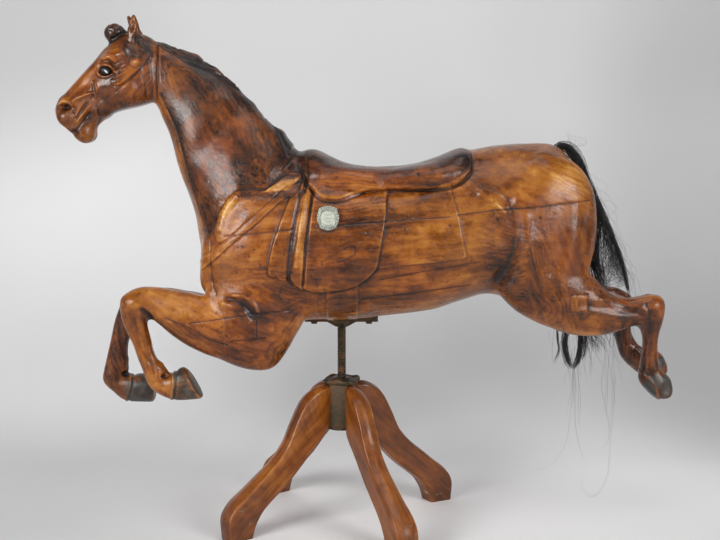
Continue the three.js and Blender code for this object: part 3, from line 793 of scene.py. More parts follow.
def carve_mane(c):
    """A twisted band of mane along the crest, with two long grooves and a scalloped top."""
    crest, edge = smooth_rows(CREST, 6), smooth_rows(MANE_EDGE, 6)
    outline = np.vstack([crest + [6, 16], edge[::-1]])
    even = np.linspace(0, 1, 24)
    low = np.stack([np.interp(even, np.linspace(0, 1, len(edge)), edge[:, i]) for i in range(2)], axis=1)
    top = np.stack([np.interp(even, np.linspace(0, 1, len(crest)), crest[:, i]) for i in range(2)], axis=1)
    for side in (NEAR, FAR):
        band = c.panel(outline, side, edge=2.6, sharp=True) * ramp(c.co[:, 0], -392, -330)
        c.offset += 4.0 * band
        c.mask("mane")[:] = np.maximum(c.mask("mane"), band)
        c.line(MANE_EDGE, 1.9, 2.4, side, grime_and_shade=0.85)
    c.apply()
    for side in (NEAR, FAR):
        for share, depth in ((0.3, 1.8), (0.62, 2.0)):
            sway = share + 0.10 * np.sin(even * 2 * math.pi * 5)[:, None]
            c.line(low + (top - low) * sway, 1.9, depth, side, steps=3, grime_and_shade=0.7)
    lumps = 6
    for k in range(lumps):
        place = crest[int((k + 0.55) / lumps * (len(crest) - 1))]
        c.swell(place + [4, -2], (13, 11), 4.0, 0)
        if k:
            dip = crest[int((k + 0.05) / lumps * (len(crest) - 1))]
            c.line([dip + [6, 6], dip + [-6, -6]], 3.0, 2.2, 0, grime_and_shade=0.6)
    c.apply()


def carve_harness(c):
    """The seat, flaps, strap, pad and cloth, each raised from the hide by its own thickness."""
    strap = np.vstack([smooth_rows(STRAP_TOP, 5), smooth_rows(STRAP_LOW, 5)[::-1]])
    skirt = np.vstack([smooth_rows(HEM, 6), [[290, 900], [-82, 900]]])
    for side in (NEAR, FAR):
        seat = c.panel(skirt, side, edge=1.8, sharp=True)
        pad = 5.0 * c.panel(PAD, side, edge=3.2, steps=4)
        rise = 3.0 * c.panel(CLOTH, side, sharp=True, edge=1.8)
        rise = np.maximum(rise, 2.6 * c.panel(GIRTH, side, sharp=True, edge=1.8))
        rise = np.maximum(rise, pad)
        rise = np.maximum(rise, 3.4 * c.panel(strap, side, sharp=True))
        rise = np.maximum(rise, 5.5 * c.panel(FRONT_FLAP, side, edge=2.2, steps=4))
        rise = np.maximum(rise, 7.5 * c.panel(FLAP, side, sharp=True, edge=2.2))
        rise = np.maximum(rise, 8.0 * c.panel(KNEE_ROLL, side, sharp=True, edge=3.0))
        c.offset += rise * (1 - seat) + 13.0 * seat * ramp(-c.co[:, 2], -822, -782)
    c.apply()
    for side in (NEAR, FAR):
        c.line([[-74, 742], [-85, 667], [-94, 600]], 6, -4.5, side, grime_and_shade=0, worn_and_highlit=0.7)
        c.line([[-60, 748], [-66, 700], [-73, 640], [-80, 556]], 2.6, 2.4, side, grime_and_shade=0.36)
        c.line([[-84, 756], [-98, 690], [-106, 640], [-112, 578], [-103, 558]], 3.5, 3.2, side, grime_and_shade=0.42)
        c.swell((-108, 610), (8, 34), -1.0, side, grime_and_shade=0.6)
        c.line(smooth_rows(FLAP[2:13], 4), 1.7, 1.3, side, grime_and_shade=0.3)
        c.line(FRONT_FLAP[1:9], 1.6, 1.8, side, grime_and_shade=0.33)
        c.line([[-80, 758], [-94, 700], [-104, 650]], 2.1, 1.8, side, grime_and_shade=0.36)
        c.line(CLOTH[1:10], 1.2, 0.96, side, grime_and_shade=0.3)
        # A painted shadow in the groove under the seat's hem, and a painted highlight along the hem's top edge.
        c.line(np.array(HEM[1:]) + [0, -3.5], 2.1, 2.4, side, steps=8, grime_and_shade=0.54)
        c.line(np.array(HEM[2:]) + [0, 5], 4, -1.8, side, steps=8, grime_and_shade=0, worn_and_highlit=0.5)
        c.line(STRAP_TOP, 1.4, 1.1, side, grime_and_shade=0.3)
        c.line(STRAP_LOW, 1.5, 1.6, side, grime_and_shade=0.45)
        c.line([[-90, 790], [-121, 788], [-163, 757]], 1.6, 1.6, side, grime_and_shade=0.42)
        c.line([[-160, 760], [-190, 761], [-216, 762]], 2.4, 1.6, side, grime_and_shade=0.3)
        # A painted highlight along the pad's raised front edge.
        c.line([[-219, 744], [-236, 728], [-250, 704], [-258, 676]], 7, -3.5, side, grime_and_shade=0, worn_and_highlit=0.8)
        c.line([[-31, 545], [-31, 470]], 1.3, 1, side, grime_and_shade=0.27)
        c.line([[37, 545], [37, 470]], 1.3, 1, side, grime_and_shade=0.27)
        c.line([[-126, 800], [-110, 818], [-96, 842]], 2.1, 1.9, side, grime_and_shade=0.36)
        c.line([[-72, 842], [-71, 812], [-70, 776]], 2.1, 1.9, side, grime_and_shade=0.36)
        # A raised strap down the chest front, with a faint painted highlight.
        c.line([[-292, 646], [-296, 600], [-294, 560], [-284, 534]], 7.0, -3.0, side, grime_and_shade=0, worn_and_highlit=0.3)
        c.line([[-280, 648], [-280, 603], [-277, 560], [-268, 534]], 1.8, 2.0, side, grime_and_shade=0.4)
    c.apply()


def carve_limbs(c):
    """Folds, tendons, fetlock tufts and hooves."""
    for side in (NEAR, FAR):
        c.line([[-244, 527], [-222, 521], [-202, 508], [-188, 488]], 6.0, 4.5, side, grime_and_shade=0.3)
        c.line([[-250, 514], [-225, 507], [-206, 494], [-196, 478]], 9.0, -4.0, side, grime_and_shade=0)
        c.line([[-231, 534], [-209, 532], [-188, 520], [-176, 498]], 3.5, -4.0, side, grime_and_shade=0, worn_and_highlit=0.5)
        c.line([[353, 735], [368, 690], [368, 642], [360, 600], [342, 566]], 15.0, 6.0, side, grime_and_shade=0.12)
        c.line([[366, 650], [356, 600], [334, 560]], 10.0, 3.0, side, grime_and_shade=0.15)
        c.line([[300, 752], [326, 732], [349, 712]], 9.0, -5.0, side, grime_and_shade=0, worn_and_highlit=0.3)
        c.line([[300, 768], [330, 758], [358, 740]], 8.0, 4.0, side, grime_and_shade=0.2)
        c.line([[392, 700], [396, 650], [388, 600]], 12.0, -3.5, side, grime_and_shade=0)
        c.line([[524, 726], [519, 673], [508, 620], [499, 577]], 12.0, 3.0, side, grime_and_shade=0.15)
        c.line([[481, 663], [468, 620], [451, 584]], 11.0, 3.0, side, grime_and_shade=0.15)
        c.line([[559, 522], [600, 521], [640, 522], [674, 526]], 5.0, -2.5, side, grime_and_shade=0)
        c.line([[520, 512], [559, 506], [600, 500], [647, 492]], 8.0, 2.5, side, grime_and_shade=0.15)
        c.line([[566, 552], [580, 545], [600, 538]], 5.0, 2.0, side, grime_and_shade=0.3)
        c.swell((682, 508), (18, 16), 4, side)
        c.line([[661, 508], [668, 495], [668, 478]], 4.0, 3.0, side, grime_and_shade=0.3)
        c.line([[672, 470], [676, 430], [674, 398]], 4.5, 3.0, side, grime_and_shade=0.3)
    c.line([[-447, 478], [-437, 422], [-413, 377]], 4.5, 2.6, NEAR, grime_and_shade=0.25)
    c.line([[-430, 470], [-424, 430], [-406, 388]], 4.0, -2.0, NEAR, grime_and_shade=0)
    c.line([[-532, 450], [-528, 400], [-518, 350]], 5.0, 2.6, FAR, grime_and_shade=0.4)
    c.line([[-520, 440], [-512, 390], [-505, 350]], 4.0, 2.0, 0, grime_and_shade=0.4, y=None)
    c.swell((-450, 515), (18, 15), 4, NEAR)
    c.swell((-472, 520), (10, 14), 3, NEAR)
    # The hollow behind the knee is darkened with painted shade.
    c.line([[-428, 500], [-414, 482], [-414, 462]], 6.0, 5.5, NEAR, grime_and_shade=0.6)
    c.apply()
    carve_fetlock(c, (-384, 353), (-399, 371), (-6, 6), NEAR)
    carve_fetlock(c, (-505, 323), (-508, 345), (0, 8), FAR)
    carve_hoof(c, [[-369, 366], [-365, 345], [-367, 322], [-372, 300]], NEAR, (-420, -250))
    carve_hoof(c, [[-498, 322], [-492, 306], [-496, 285], [-506, 258]], FAR, (-600, -400))
    carve_hoof(c, [[652, 362], [664, 356], [676, 345], [686, 328], [697, 300]], NEAR, (600, 760))
    carve_hoof(c, [[682, 384], [694, 372], [704, 358], [716, 340], [730, 318]], FAR, (600, 800))
    c.swell((716, 326), (11, 13), -5, NEAR, turn=-30)
    c.swell((-334, 330), (15, 17), -2.5, NEAR, turn=-30)
    c.apply()


def limb_only(c, side, reach):
    """Picks one leg, so that a tool laid across it doesn't bite the other."""
    x, y, _ = c.co.T
    return (y * side > 30) & (x > reach[0]) & (x < reach[1])


def carve_fetlock(c, notch, tuft, way, side):
    """A tuft of hair behind the fetlock, with a notch cut under it."""
    keep = c.offset.copy()
    c.swell(notch, (6.5, 5), -11, 0, grime_and_shade=0.6)
    c.swell((tuft[0] - way[0], tuft[1] + way[1]), (9, 8), 3.5, 0)
    mine = limb_only(c, side, (tuft[0] - 40, tuft[0] + 60))
    c.offset[~mine] = keep[~mine]


def carve_hoof(c, coronet, side, reach):
    """The raised band where the hoof starts, with a step below it."""
    keep = c.offset.copy()
    c.line(coronet, 2.6, -2.4, 0, grime_and_shade=0)
    c.line(np.array(coronet) + [6, -1] , 2.2, 2.4, 0, grime_and_shade=0.9)
    mine = limb_only(c, side, reach)
    c.offset[~mine] = keep[~mine]


def carve_seams(c):
    """The joints between the glued blocks, and the plugs let into the wood."""
    joints = (
        [[-53, 679], [-1, 685], [99, 693], [232, 702]], [[249, 706], [338, 717], [423, 723], [536, 736]],
        [[-250, 660], [-170, 668], [-100, 676]], [[84, 568], [180, 586], [298, 605]],
        [[42, 522], [150, 536], [279, 553]], [[-324, 473], [-259, 482], [-181, 494], [-110, 500]],
        [[-233, 435], [-161, 441]], [[-180, 493], [-180, 443]], NECK_STRIP,
        [[-379, 483], [-324, 462], [-281, 437], [-242, 426]],
    )
    for side in (NEAR, FAR):
        for joint in joints:
            c.line(joint, 1.3, 2.0, side, grime_and_shade=1)
        plug = [[493, 497], [531, 497], [531, 534], [493, 534], [493, 497]]
        for a, b in zip(plug, plug[1:]):
            c.line([a, b], 1.4, 1.2, side, grime_and_shade=0.8)
        plug = [[-39, 608], [20, 642], [31, 642], [31, 623], [10, 612], [-39, 601], [-39, 608]]
        for a, b in zip(plug, plug[1:]):
            c.line([a, b], 1.4, 1.0, side, grime_and_shade=0.6)
        for dent in ([137, 677], [232, 683], [58, 669], [165, 792], [423, 700], [334, 696]):
            c.swell(dent, (3, 3), -2.5, side, grime_and_shade=1)
    c.apply()


def carve_seats(c):
    """Sinks the seats of the badge and the mounting cross."""
    x, y, z = c.co.T
    away = np.hypot((x + 26) / 24, (z - 700) / 26)
    flat = (1 - ramp(away, 1.0, 1.35)) * (y < -100)
    c.co[:, 1] = np.where(y < -138.6, y + (-138.6 - y) * flat, y)
    under = (np.abs(x) < 84) & (np.abs(y) < 46) & (z < 480) & (z > 440)
    c.co[under, 2] = np.maximum(c.co[under, 2], 470.2)
    c.write()
    c.read()


def carve_surface(c):
    """The slight unevenness of hand tools."""
    rng = np.random.default_rng(11)
    uneven = np.zeros(c.count)
    for _ in range(40):
        wave = rng.normal(size=3) * rng.uniform(0.03, 0.09)
        uneven += np.sin(c.co @ wave + rng.uniform(0, 6.28))
    c.offset += 0.10 * uneven
    c.apply()


# ---------------------------------------------------------------- what the wood's finish reads

# Each glued block: where its pith runs through, the way its grain runs, and its tone.
BLOCKS = {
    "back": ((0, 40, 560), (1, 0.05, 0.03), 0.25),
    "belly": ((0, -30, 700), (1, -0.04, 0.10), 0.20),
    "neck": ((-250, -40, 860), (-0.52, -0.16, 0.83), -1.75),
    "strip": ((-340, 30, 820), (-0.25, 0, 0.97), 0.45),
    "head": ((-520, 14, 960), (-0.62, 0.05, -0.78), 0.15),
    "chest": ((-230, 30, 480), (0.94, 0.10, -0.34), 0.10),
    "forearm": ((-320, -20, 430), (-0.85, 0, 0.5), 0.25),
    "near_shin": ((-436, -60, 420), (-0.3, 0.04, 0.95), 0.1),
    "far_shin": ((-530, 60, 400), (-0.2, -0.04, 0.97), 0.05),
    "rump": ((420, -60, 900), (0.9, 0.15, -0.4), 0.45),
    "thigh": ((500, -40, 640), (0.35, 0.14, -0.93), 0.0),
    "gaskin": ((560, 40, 520), (1, 0, -0.12), 0.05),
    "hock": ((690, 40, 430), (0.05, 0, 1), -0.35),
    "seat": ((80, 0, 700), (1, 0, 0.02), -1.4),
    "flap": ((0, -20, 500), (1, 0.06, 0.0), -0.15),
}


def block_shares(c):
    """Which glued block each point of the horse belongs to, later ones laid over earlier ones."""
    x, y, z = c.co.T
    near = y < 0
    seam = np.interp(x, [-254, -100, 99, 232, 338, 536], [664, 674, 693, 702, 717, 736])
    neck_line = np.interp(z, [690, 780, 900, 1000], [-110, -60, -60, -60])
    strip = np.interp(z, [690, 734, 778, 843, 886, 940, 965], [-300, -314, -329, -346, -359, -382, -394])
    tests = {
        "back": z > seam,
        "belly": z <= seam,
        "chest": (x < -60) & (z < 560) & (x > -260),
        "neck": (x < neck_line) & (z > 740) | (x < -265) & (z > 640),
        "strip": (z > 640) & (x < strip),
        "head": (x < -404) & (z > 850),
        "forearm": (z < 548) & (x < -250),
        "near_shin": near & (z < 500) & (x < -405) & (x > -482),
        "far_shin": ~near & (z < 480) & (x < -465),
        "rump": (x > 330) & (z > 640),
        "thigh": (x > 400) & (z <= 700),
        "gaskin": (x > 505) & (z < 545),
        "hock": (x > 635) & (z < 480),
        "seat": c.mask("seat") > 0.5,
        "flap": c.mask("flap") > 0.5,
    }
    chosen = np.zeros(c.count, int)
    for i, name in enumerate(BLOCKS):
        chosen[tests[name]] = i
    return chosen


def lay_grain(c):
    """Grain places: along the grain, then across it from the pith, in decimetres."""
    chosen = block_shares(c)
    grain = np.zeros((c.count, 3))
    tone = np.zeros(c.count)
    for i, (origin, way, shade) in enumerate(BLOCKS.values()):
        mine = chosen == i
        along = np.array(way, float)
        along /= np.linalg.norm(along)
        up = np.cross(along, [0, 1, 0])
        up /= np.linalg.norm(up)
        across = np.cross(along, up)
        place = c.co[mine] - origin
        grain[mine] = np.stack([place @ along + 37 * i, place @ up, place @ across], axis=1) / 100
        tone[mine] = shade
    return grain, tone


# Painted shade (negative) and painted highlights (positive), with some real darkening and polish of the old varnish:
# place [x, z], reach along and across, turn in degrees, strength, and the leg's side if only one.
LIGHT_AND_TONE_SPOTS = [
    [-500, 1096, 26, 24, 0, -0.8], [-450, 1045, 30, 16, 30, -0.6], [-430, 1086, 34, 20, -15, -0.7], [-408, 1000, 12, 70, 0, -1.0],
    [-452, 1112, 12, 16, 0, 0.5], [-586, 884, 26, 12, 0, -0.35], [-606, 905, 16, 18, 0, -0.35],
    [-510, 922, 60, 9, -22, -0.8], [-494, 1058, 24, 12, 30, 0.5], [-470, 962, 38, 20, 20, 0.35],
    [-572, 990, 36, 12, 45, 0.2], [-573, 938, 20, 10, 50, 0.6], [-502, 1040, 22, 8, 15, 0.4],
    [-482, 1014, 20, 8, 30, 0.5], [-442, 1029, 10, 9, 0, 0.7], [-454, 1060, 14, 7, -45, 0.35],
    [-424, 1040, 12, 26, 0, -0.5], [-434, 990, 10, 30, 0, -0.25], [-604, 950, 16, 5, 0, 0.5],
    [-355, 900, 16, 60, -22, -0.75], [-325, 780, 20, 70, -12, -0.7], [-386, 1058, 20, 12, -20, 0.8],
    [-358, 985, 26, 60, -24, 0.35], [-280, 1000, 60, 9, -38, -0.6], [-200, 940, 60, 8, -48, -0.5],
    [-250, 905, 44, 60, -30, -0.1], [-165, 850, 26, 30, 0, 0.35], [-200, 800, 50, 18, 25, 0.2],
    [-285, 790, 22, 50, 0, -0.4], [-240, 722, 9, 30, -28, 1.5], [-215, 715, 22, 22, 0, -0.35],
    [-250, 690, 14, 22, 0, -0.5], [-90, 800, 14, 30, 0, -0.5], [-250, 620, 30, 26, 0, 0.25],
    [-180, 690, 50, 10, 40, -0.3], [-100, 660, 7, 90, -6, -0.9], [-86, 665, 6, 90, 6, 0.9],
    [-135, 610, 16, 40, -8, -0.25], [-64, 650, 7, 90, 5, -0.5], [0, 820, 90, 12, -8, -0.25],
    [60, 782, 90, 16, 0, 0.1], [230, 812, 40, 22, 25, -0.3], [14, 634, 40, 18, 0, 0.6],
    [-10, 588, 60, 12, 12, -0.8], [-22, 800, 40, 26, 0, -0.5], [-20, 722, 50, 10, 0, -0.35], [60, 715, 34, 18, 0, 0.2],
    [150, 650, 70, 26, 0, 0.35], [170, 740, 90, 10, 0, -0.3], [110, 610, 30, 12, 0, -0.45],
    [150, 540, 160, 22, 4, -0.4], [3, 510, 36, 34, 0, -0.6], [60, 500, 20, 40, 0, -0.25],
    [322, 724, 34, 16, 25, 0.9], [328, 760, 44, 10, 15, -0.5], [362, 650, 20, 70, 0, -0.5], [322, 606, 30, 24, 40, -0.7],
    [345, 565, 34, 28, 30, -0.75], [448, 778, 70, 38, 0, 1.4], [520, 740, 16, 40, 0, 0.2],
    [545, 680, 14, 90, 0, -0.6], [345, 826, 46, 14, 10, -0.35], [445, 668, 40, 46, 0, 0.2],
    [500, 596, 26, 36, 0, -0.35], [455, 510, 90, 22, -12, -0.8], [400, 700, 30, 14, 0, -0.15],
    [600, 505, 60, 10, -4, 0.35], [604, 530, 50, 7, 0, -0.3], [686, 512, 18, 14, 0, 0.2],
    [-320, 492, 80, 18, -8, 0.3], [-370, 455, 60, 9, -40, -0.75], [-416, 468, 14, 24, 0, -1.0, NEAR],
    [-452, 512, 16, 14, 0, 0.35, NEAR], [-430, 400, 14, 50, -20, 0.5, NEAR], [-404, 338, 20, 22, 0, 0.7, NEAR],
    [-210, 512, 34, 14, -25, -0.6], [-200, 455, 70, 16, 0, 0.2], [-170, 415, 40, 12, 0, -0.35],
    [-270, 425, 60, 12, -25, -0.35], [-520, 400, 46, 110, 0, -0.2, FAR], [-545, 300, 60, 40, 0, -0.4, FAR],
    [640, 420, 40, 70, 0, -0.3, FAR], [674, 430, 14, 50, 0, -0.15, NEAR],
]
YELLOW_PATCH = [[-166, 754], [-124, 779], [-88, 783], [-110, 758]]
SQUARE_PLUG = [[493, 497], [531, 497], [531, 534], [493, 534]]


def light_and_tone(c):
    """Painted light and shade, with the varnish's own lighter and darker tones and its lighter patches, as one number
    for each point.
    """
    x, y, z = c.co.T
    total = np.zeros(c.count)
    for cx, cz, long, high, turn, strength, *leg in LIGHT_AND_TONE_SPOTS:
        cos, sin = math.cos(math.radians(turn)), math.sin(math.radians(turn))
        u = ((x - cx) * cos + (z - cz) * sin) / long
        v = (-(x - cx) * sin + (z - cz) * cos) / high
        share = np.exp(-(u * u + v * v))
        total += strength * share * ((y * leg[0] > 20) if leg else 1)
    for side in (NEAR, FAR):
        total += 2.2 * c.panel(YELLOW_PATCH, side, edge=1.2, sharp=True)
        total += 0.9 * c.panel(SQUARE_PLUG, side, edge=1.2, sharp=True)
    return total


def hollows(c, rounds, radius_share=1.0):
    """How far each point lies below (positive) or above its smoothed surroundings, in millimetres."""
    smooth = c.co.copy()
    for _ in range(rounds):
        smooth += (c.average(smooth) - smooth) * 0.5
    return ((smooth - c.co) * c.normal).sum(axis=1) * radius_share


def finish_masks(c):
    """The masks that the varnish reads: dirt and painted shade in hollows, wear and painted highlights on edges, and
    paint on the hooves.
    """
    fine, broad = hollows(c, 6), hollows(c, 60)
    # The darkening mask: dirt and painted shade in each marked groove, a soft painted shade spread round it, and more
    # in fine and broad hollows.
    halo = c.mask("grime_and_shade").copy()
    for _ in range(24):
        halo += (c.average(halo) - halo) * 0.7
    thin = c.mask("grime_and_shade") * 0.55 + np.clip(halo * 1.6, 0, 1) * 0.45
    grime_and_shade = np.clip(thin + ramp(fine, 0.10, 0.9) * 0.5 + ramp(broad, 0.6, 4.0) * 0.6, 0, 1)
    # Wear on ridges and edges, together with painted highlights where light catches them: the pad's edge, the hem's
    # top, the lids and folds of the head.
    worn_and_highlit = c.mask("worn_and_highlit")
    for _ in range(2):
        worn_and_highlit = c.average(worn_and_highlit)
    wear_and_highlight = np.clip(worn_and_highlit * 0.7 + ramp(-fine, 0.12, 0.8) * 0.8 + ramp(-broad, 1.2, 5.0) * 0.4, 0, 1)
    x, y, z = c.co.T
    hoof = np.zeros(c.count)
    hoof = np.maximum(hoof, ramp(x, -372, -364) * (y < 0) * (z < 380) * (x < -250))
    hoof = np.maximum(hoof, ramp(x, -508, -500) * (y > 0) * (z < 340) * (x < -400))
    hoof = np.maximum(hoof, ramp((x - 660) + (345 - z) * 0.7, 6, 14) * (y < 0) * (z < 352) * (x > 640))
    hoof = np.maximum(hoof, ramp((x - 690) + (352 - z) * 0.7, 6, 14) * (y > 0) * (z < 366) * (x > 660))
    grain, tone = lay_grain(c)
    for _ in range(3):
        tone = c.average(tone)
    return {
        "grime_and_shade": grime_and_shade, "wear_and_highlight": wear_and_highlight, "hoof": hoof, "tone": tone, "grain": grain,
        "tone_and_painted_light": light_and_tone(c) - 0.4 * c.mask("mane"),
    }


def store(mesh, name, values):
    kind = "FLOAT_VECTOR" if values.ndim == 2 else "FLOAT"
    attribute = mesh.attributes.new(name, kind, "POINT")
    attribute.data.foreach_set("vector" if values.ndim == 2 else "value", values.ravel().astype(np.float32))


def head_refined(mesh):
    """The mesh with the head's faces split once more, where the carving is finest."""
    bm = bmesh.new()
    bm.from_mesh(mesh)
    limit = (np.array([-395, 0, 850]) * MM) + ORIGIN
    edges = [
        e for e in bm.edges if all(v.co.x < limit[0] and v.co.z > limit[2] for v in e.verts)
    ]
    bmesh.ops.subdivide_edges(bm, edges=edges, cuts=1, use_grid_fill=True)
    bmesh.ops.triangulate(bm, faces=[f for f in bm.faces if len(f.verts) > 4])
    bm.to_mesh(mesh)
    bm.free()
    return mesh


def mark_parts(c):
    """Notes which points are the seat's and which the flap's, for their own grain."""
    hem = np.vstack([smooth_rows(HEM, 6), [[300, 900], [-90, 900]]])
    for side in (NEAR, FAR):
        c.mask("flap")[:] = np.maximum(c.mask("flap"), c.panel(FLAP, side, sharp=True))
        c.mask("seat")[:] = np.maximum(c.mask("seat"), c.panel(hem, side, sharp=True))
    x, y, z = c.co.T
    c.mask("seat")[(z > 790) & (x > -76) & (x < 284) & (np.abs(y) < 100)] = 1


def carve_horse(settings):
    mesh = rough_out()
    mesh = with_modifier(mesh, "REMESH", mode="VOXEL", voxel_size=settings.rough_voxel)
    c = Carving(mesh)
    c.relax(10, np.where(c.co[:, 2] > 1085, 0.06, np.where(c.co[:, 0] < -425, 0.2, 0.5)))
    c.write()
    mesh = with_modifier(mesh, "REMESH", mode="VOXEL", voxel_size=settings.fine_voxel)
    mesh = head_refined(mesh)
    c = Carving(mesh)
    c.relax(4, 0.5)
    c.write()
    c.read()
    mark_parts(c)
    for cut in (
        carve_forms, carve_head, carve_mane, carve_harness, carve_limbs, carve_seams, carve_seats,
        carve_surface,
    ):
        cut(c)
    c.relax(1, 0.35)
    c.write()
    c.read()
    for name, values in finish_masks(c).items():
        store(mesh, name, values)
    total = sum(len(p.vertices) - 2 for p in mesh.polygons)
    return with_modifier(
        mesh, "DECIMATE", decimate_type="COLLAPSE", ratio=min(1.0, settings.triangles / total)
    )


# ---------------------------------------------------------------- finishes


def varnished_wood(wood):
    """Old varnished pine: rings along each block's grain, mottled colour, worn edges, and painted light and shade."""
    f = Finish("varnished_wood")
    place = f.place()
    grain = f.attribute("grain", vector=True)
    # The lightening mask holds wear and painted highlights; the darkening mask holds dirt and painted shade.
    grime_and_shade, wear_and_highlight = f.attribute("grime_and_shade"), f.attribute("wear_and_highlight")
    tone, tone_and_painted_light, hoof = f.attribute("tone"), f.attribute("tone_and_painted_light"), f.attribute("hoof")

    # growth rings round the pith
    wobble = f.noise(f.scaled(grain, (0.8, 1.6, 1.6)), 1.0, detail=3, rough=0.5)
    shiver = f.noise(f.scaled(grain, (3.0, 12.0, 12.0)), 1.0, detail=2)
    _, up, across = f.parts(grain)
    reach = (up * up + across * across) ** 0.5 + (wobble - 0.5) * 0.45
    ring = f.add("ShaderNodeMath", [reach * 13.0 + (shiver - 0.5) * 0.7], operation="FRACT")
    late = ring.step(0.25, 0.88) * (1 - ring.step(0.88, 1.0))
    shown = f.noise(place, 7.0, detail=2).step(0.42, 0.60)
    pores = f.noise(f.scaled(grain, (4.0, 130.0, 130.0)), 1.0, detail=3, rough=0.6).step(0.54, 0.70)
    streak = f.noise(f.scaled(grain, (0.9, 7.0, 7.0)), 1.0, detail=4, rough=0.6).step(0.30, 0.70)

    # mottling at several sizes
    broad = f.noise(place, 4.5, detail=3, rough=0.5).step(0.34, 0.66)
    cloud = f.noise(place, 12.0, detail=5, rough=0.62).step(0.32, 0.68)
    mottle = f.noise(place, 42.0, detail=4, rough=0.6)
    spots = f.noise(place, 95.0, detail=2).step(0.645, 0.70)
    # The lightness also carries painted light: highlights and shade from the spot list, painted shade in hollows and
    # painted highlights on edges.
    light = 0.50 + tone * 0.12 + tone_and_painted_light * 0.23 + (broad - 0.5) * 0.20 + (streak - 0.5) * 0.20
    light = light + (cloud - 0.5) * 0.24 + (mottle - 0.5) * 0.32 - late * shown * 0.13 - pores * 0.05
    light = light + wear_and_highlight * 0.22 - grime_and_shade * (0.26 + cloud * 0.20) - spots * broad * 0.25
    light = light.max(0.06)
    body = f.ramp(light, [
        (0.05, tuple(wood.pitch)), (0.24, tuple(wood.umber)), (0.42, tuple(wood.chestnut)),
        (0.58, tuple(wood.amber)), (0.78, tuple(wood.honey)), (1.0, tuple(wood.straw)),
    ])
    red = f.noise(place, 6.0, detail=3).step(0.42, 0.64) * (0.75 - tone * 0.5).max(0.0).min(1.0)
    body = f.mix(red * 0.6, body, f.mix(1.0, body, (1.0, 0.70, 0.70), blend="MULTIPLY"))

    # dark paint on the hooves, worn through to the wood
    chips = f.noise(place, 24.0, detail=4, rough=0.6)
    painted = hoof * (1 - (wear_and_highlight * 0.5 + (chips - 0.44) * 3.2).step(0.15, 0.75) * 0.85)
    paint = f.mix(mottle.step(0.4, 0.6), (0.020, 0.020, 0.018), (0.055, 0.052, 0.043))
    body = f.mix(painted * 0.92, body, paint)

    rough = wood.gloss - 0.05 + (cloud - 0.5) * 0.14 + (mottle - 0.5) * 0.30 + grime_and_shade * 0.16 + painted * 0.12
    rough = rough - wear_and_highlight * 0.04
    normal = f.bump(late * shown * 0.4 - pores * 0.5 + mottle * 0.8, 0.0006, 0.5)
    dents = f.noise(place, 34.0, detail=3, rough=0.55)
    normal = f.bump(dents, 0.004, 0.34, after=normal)
    return f.finish(color=body, rough=rough, normal=normal, coat=0.06, coat_rough=0.12, ior=1.48)


def stand_wood():
    """Orange-brown varnish on the stand's legs, scuffed at the feet."""
    f = Finish("stand_wood")
    place = f.place()
    grain = f.attribute("grain", vector=True)
    wear_and_highlight = f.attribute("wear_and_highlight")
    streak = f.noise(f.scaled(grain, (1.0, 6.0, 6.0)), 1.0, detail=3).step(0.32, 0.68)
    lines = f.noise(f.scaled(grain, (1.6, 50.0, 40.0)), 1.0, detail=4, rough=0.6)
    broad = f.noise(place, 8.0, detail=3).step(0.34, 0.66)
    mottle = f.noise(place, 45.0, detail=4, rough=0.6)
    _, _, high = f.parts(place)
    foot = 1 - high.step(0.02, 0.11)
    scuff = f.noise(f.scaled(place, (30, 30, 70)), 1.0, detail=4, rough=0.7).step(0.58, 0.70)
    # The wear mask here is a painted highlight along the legs' rounded edge.
    light = 0.50 + (streak - 0.5) * 0.22 + (lines - 0.5) * 0.35 + (broad - 0.5) * 0.22 + wear_and_highlight * 0.26
    light = light + (mottle - 0.5) * 0.25 - foot * 0.10 - scuff * 0.10
    body = f.ramp(light, [
        (0.0, (0.028, 0.008, 0.003)), (0.30, (0.095, 0.024, 0.004)), (0.52, (0.205, 0.056, 0.007)),
        (0.75, (0.345, 0.115, 0.016)), (1.0, (0.560, 0.270, 0.080)),
    ])
    body = f.mix(scuff * foot * 0.8, body, (0.42, 0.27, 0.15))
    rough = 0.34 + (mottle - 0.5) * 0.3 + foot * 0.16 + scuff * 0.12
    normal = f.bump(lines + mottle, 0.0005, 0.4)
    normal = f.bump(f.noise(place, 26.0, detail=3), 0.003, 0.3, after=normal)
    return f.finish(color=body, rough=rough, normal=normal, coat=0.10, coat_rough=0.14, ior=1.46)


def aged_iron():
    """Dark iron with a thin brown bloom of rust and old oil."""
    f = Finish("iron")
    place = f.place()
    bloom = f.noise(place, 38.0, detail=5, rough=0.65)
    speck = f.noise(place, 210.0, detail=3)
    rust = (bloom * 0.8 + speck * 0.35).step(0.50, 0.78)
    body = f.mix(rust, (0.050, 0.040, 0.024), (0.17, 0.068, 0.026))
    body = f.mix(speck.step(0.55, 0.75) * 0.5, body, (0.012, 0.010, 0.008))
    rough = 0.46 + rust * 0.34 + (speck - 0.5) * 0.2
    metal = 0.75 - rust * 0.6
    normal = f.bump(speck * 0.4 + bloom, 0.0012, 0.5)
    return f.finish(color=body, rough=rough, metal=metal, normal=normal)


def eye_glass():
    """A brown glass eye with a dark pupil behind a clear front, and a pale glint painted at its lower back."""
    f = Finish("eye_glass")
    pupil, rim = f.attribute("pupil"), f.attribute("rim")
    streak = f.noise(f.place(), 900.0, detail=2)
    body = f.mix(streak, (0.004, 0.003, 0.002), (0.014, 0.008, 0.005))
    body = f.mix(pupil, body, (0.003, 0.003, 0.004))
    # The painted glint.
    body = f.mix(rim, body, (0.62, 0.66, 0.72))
    return f.finish(color=body, rough=0.38 + rim * 0.1, coat=0.0, coat_rough=0.1, ior=1.35)


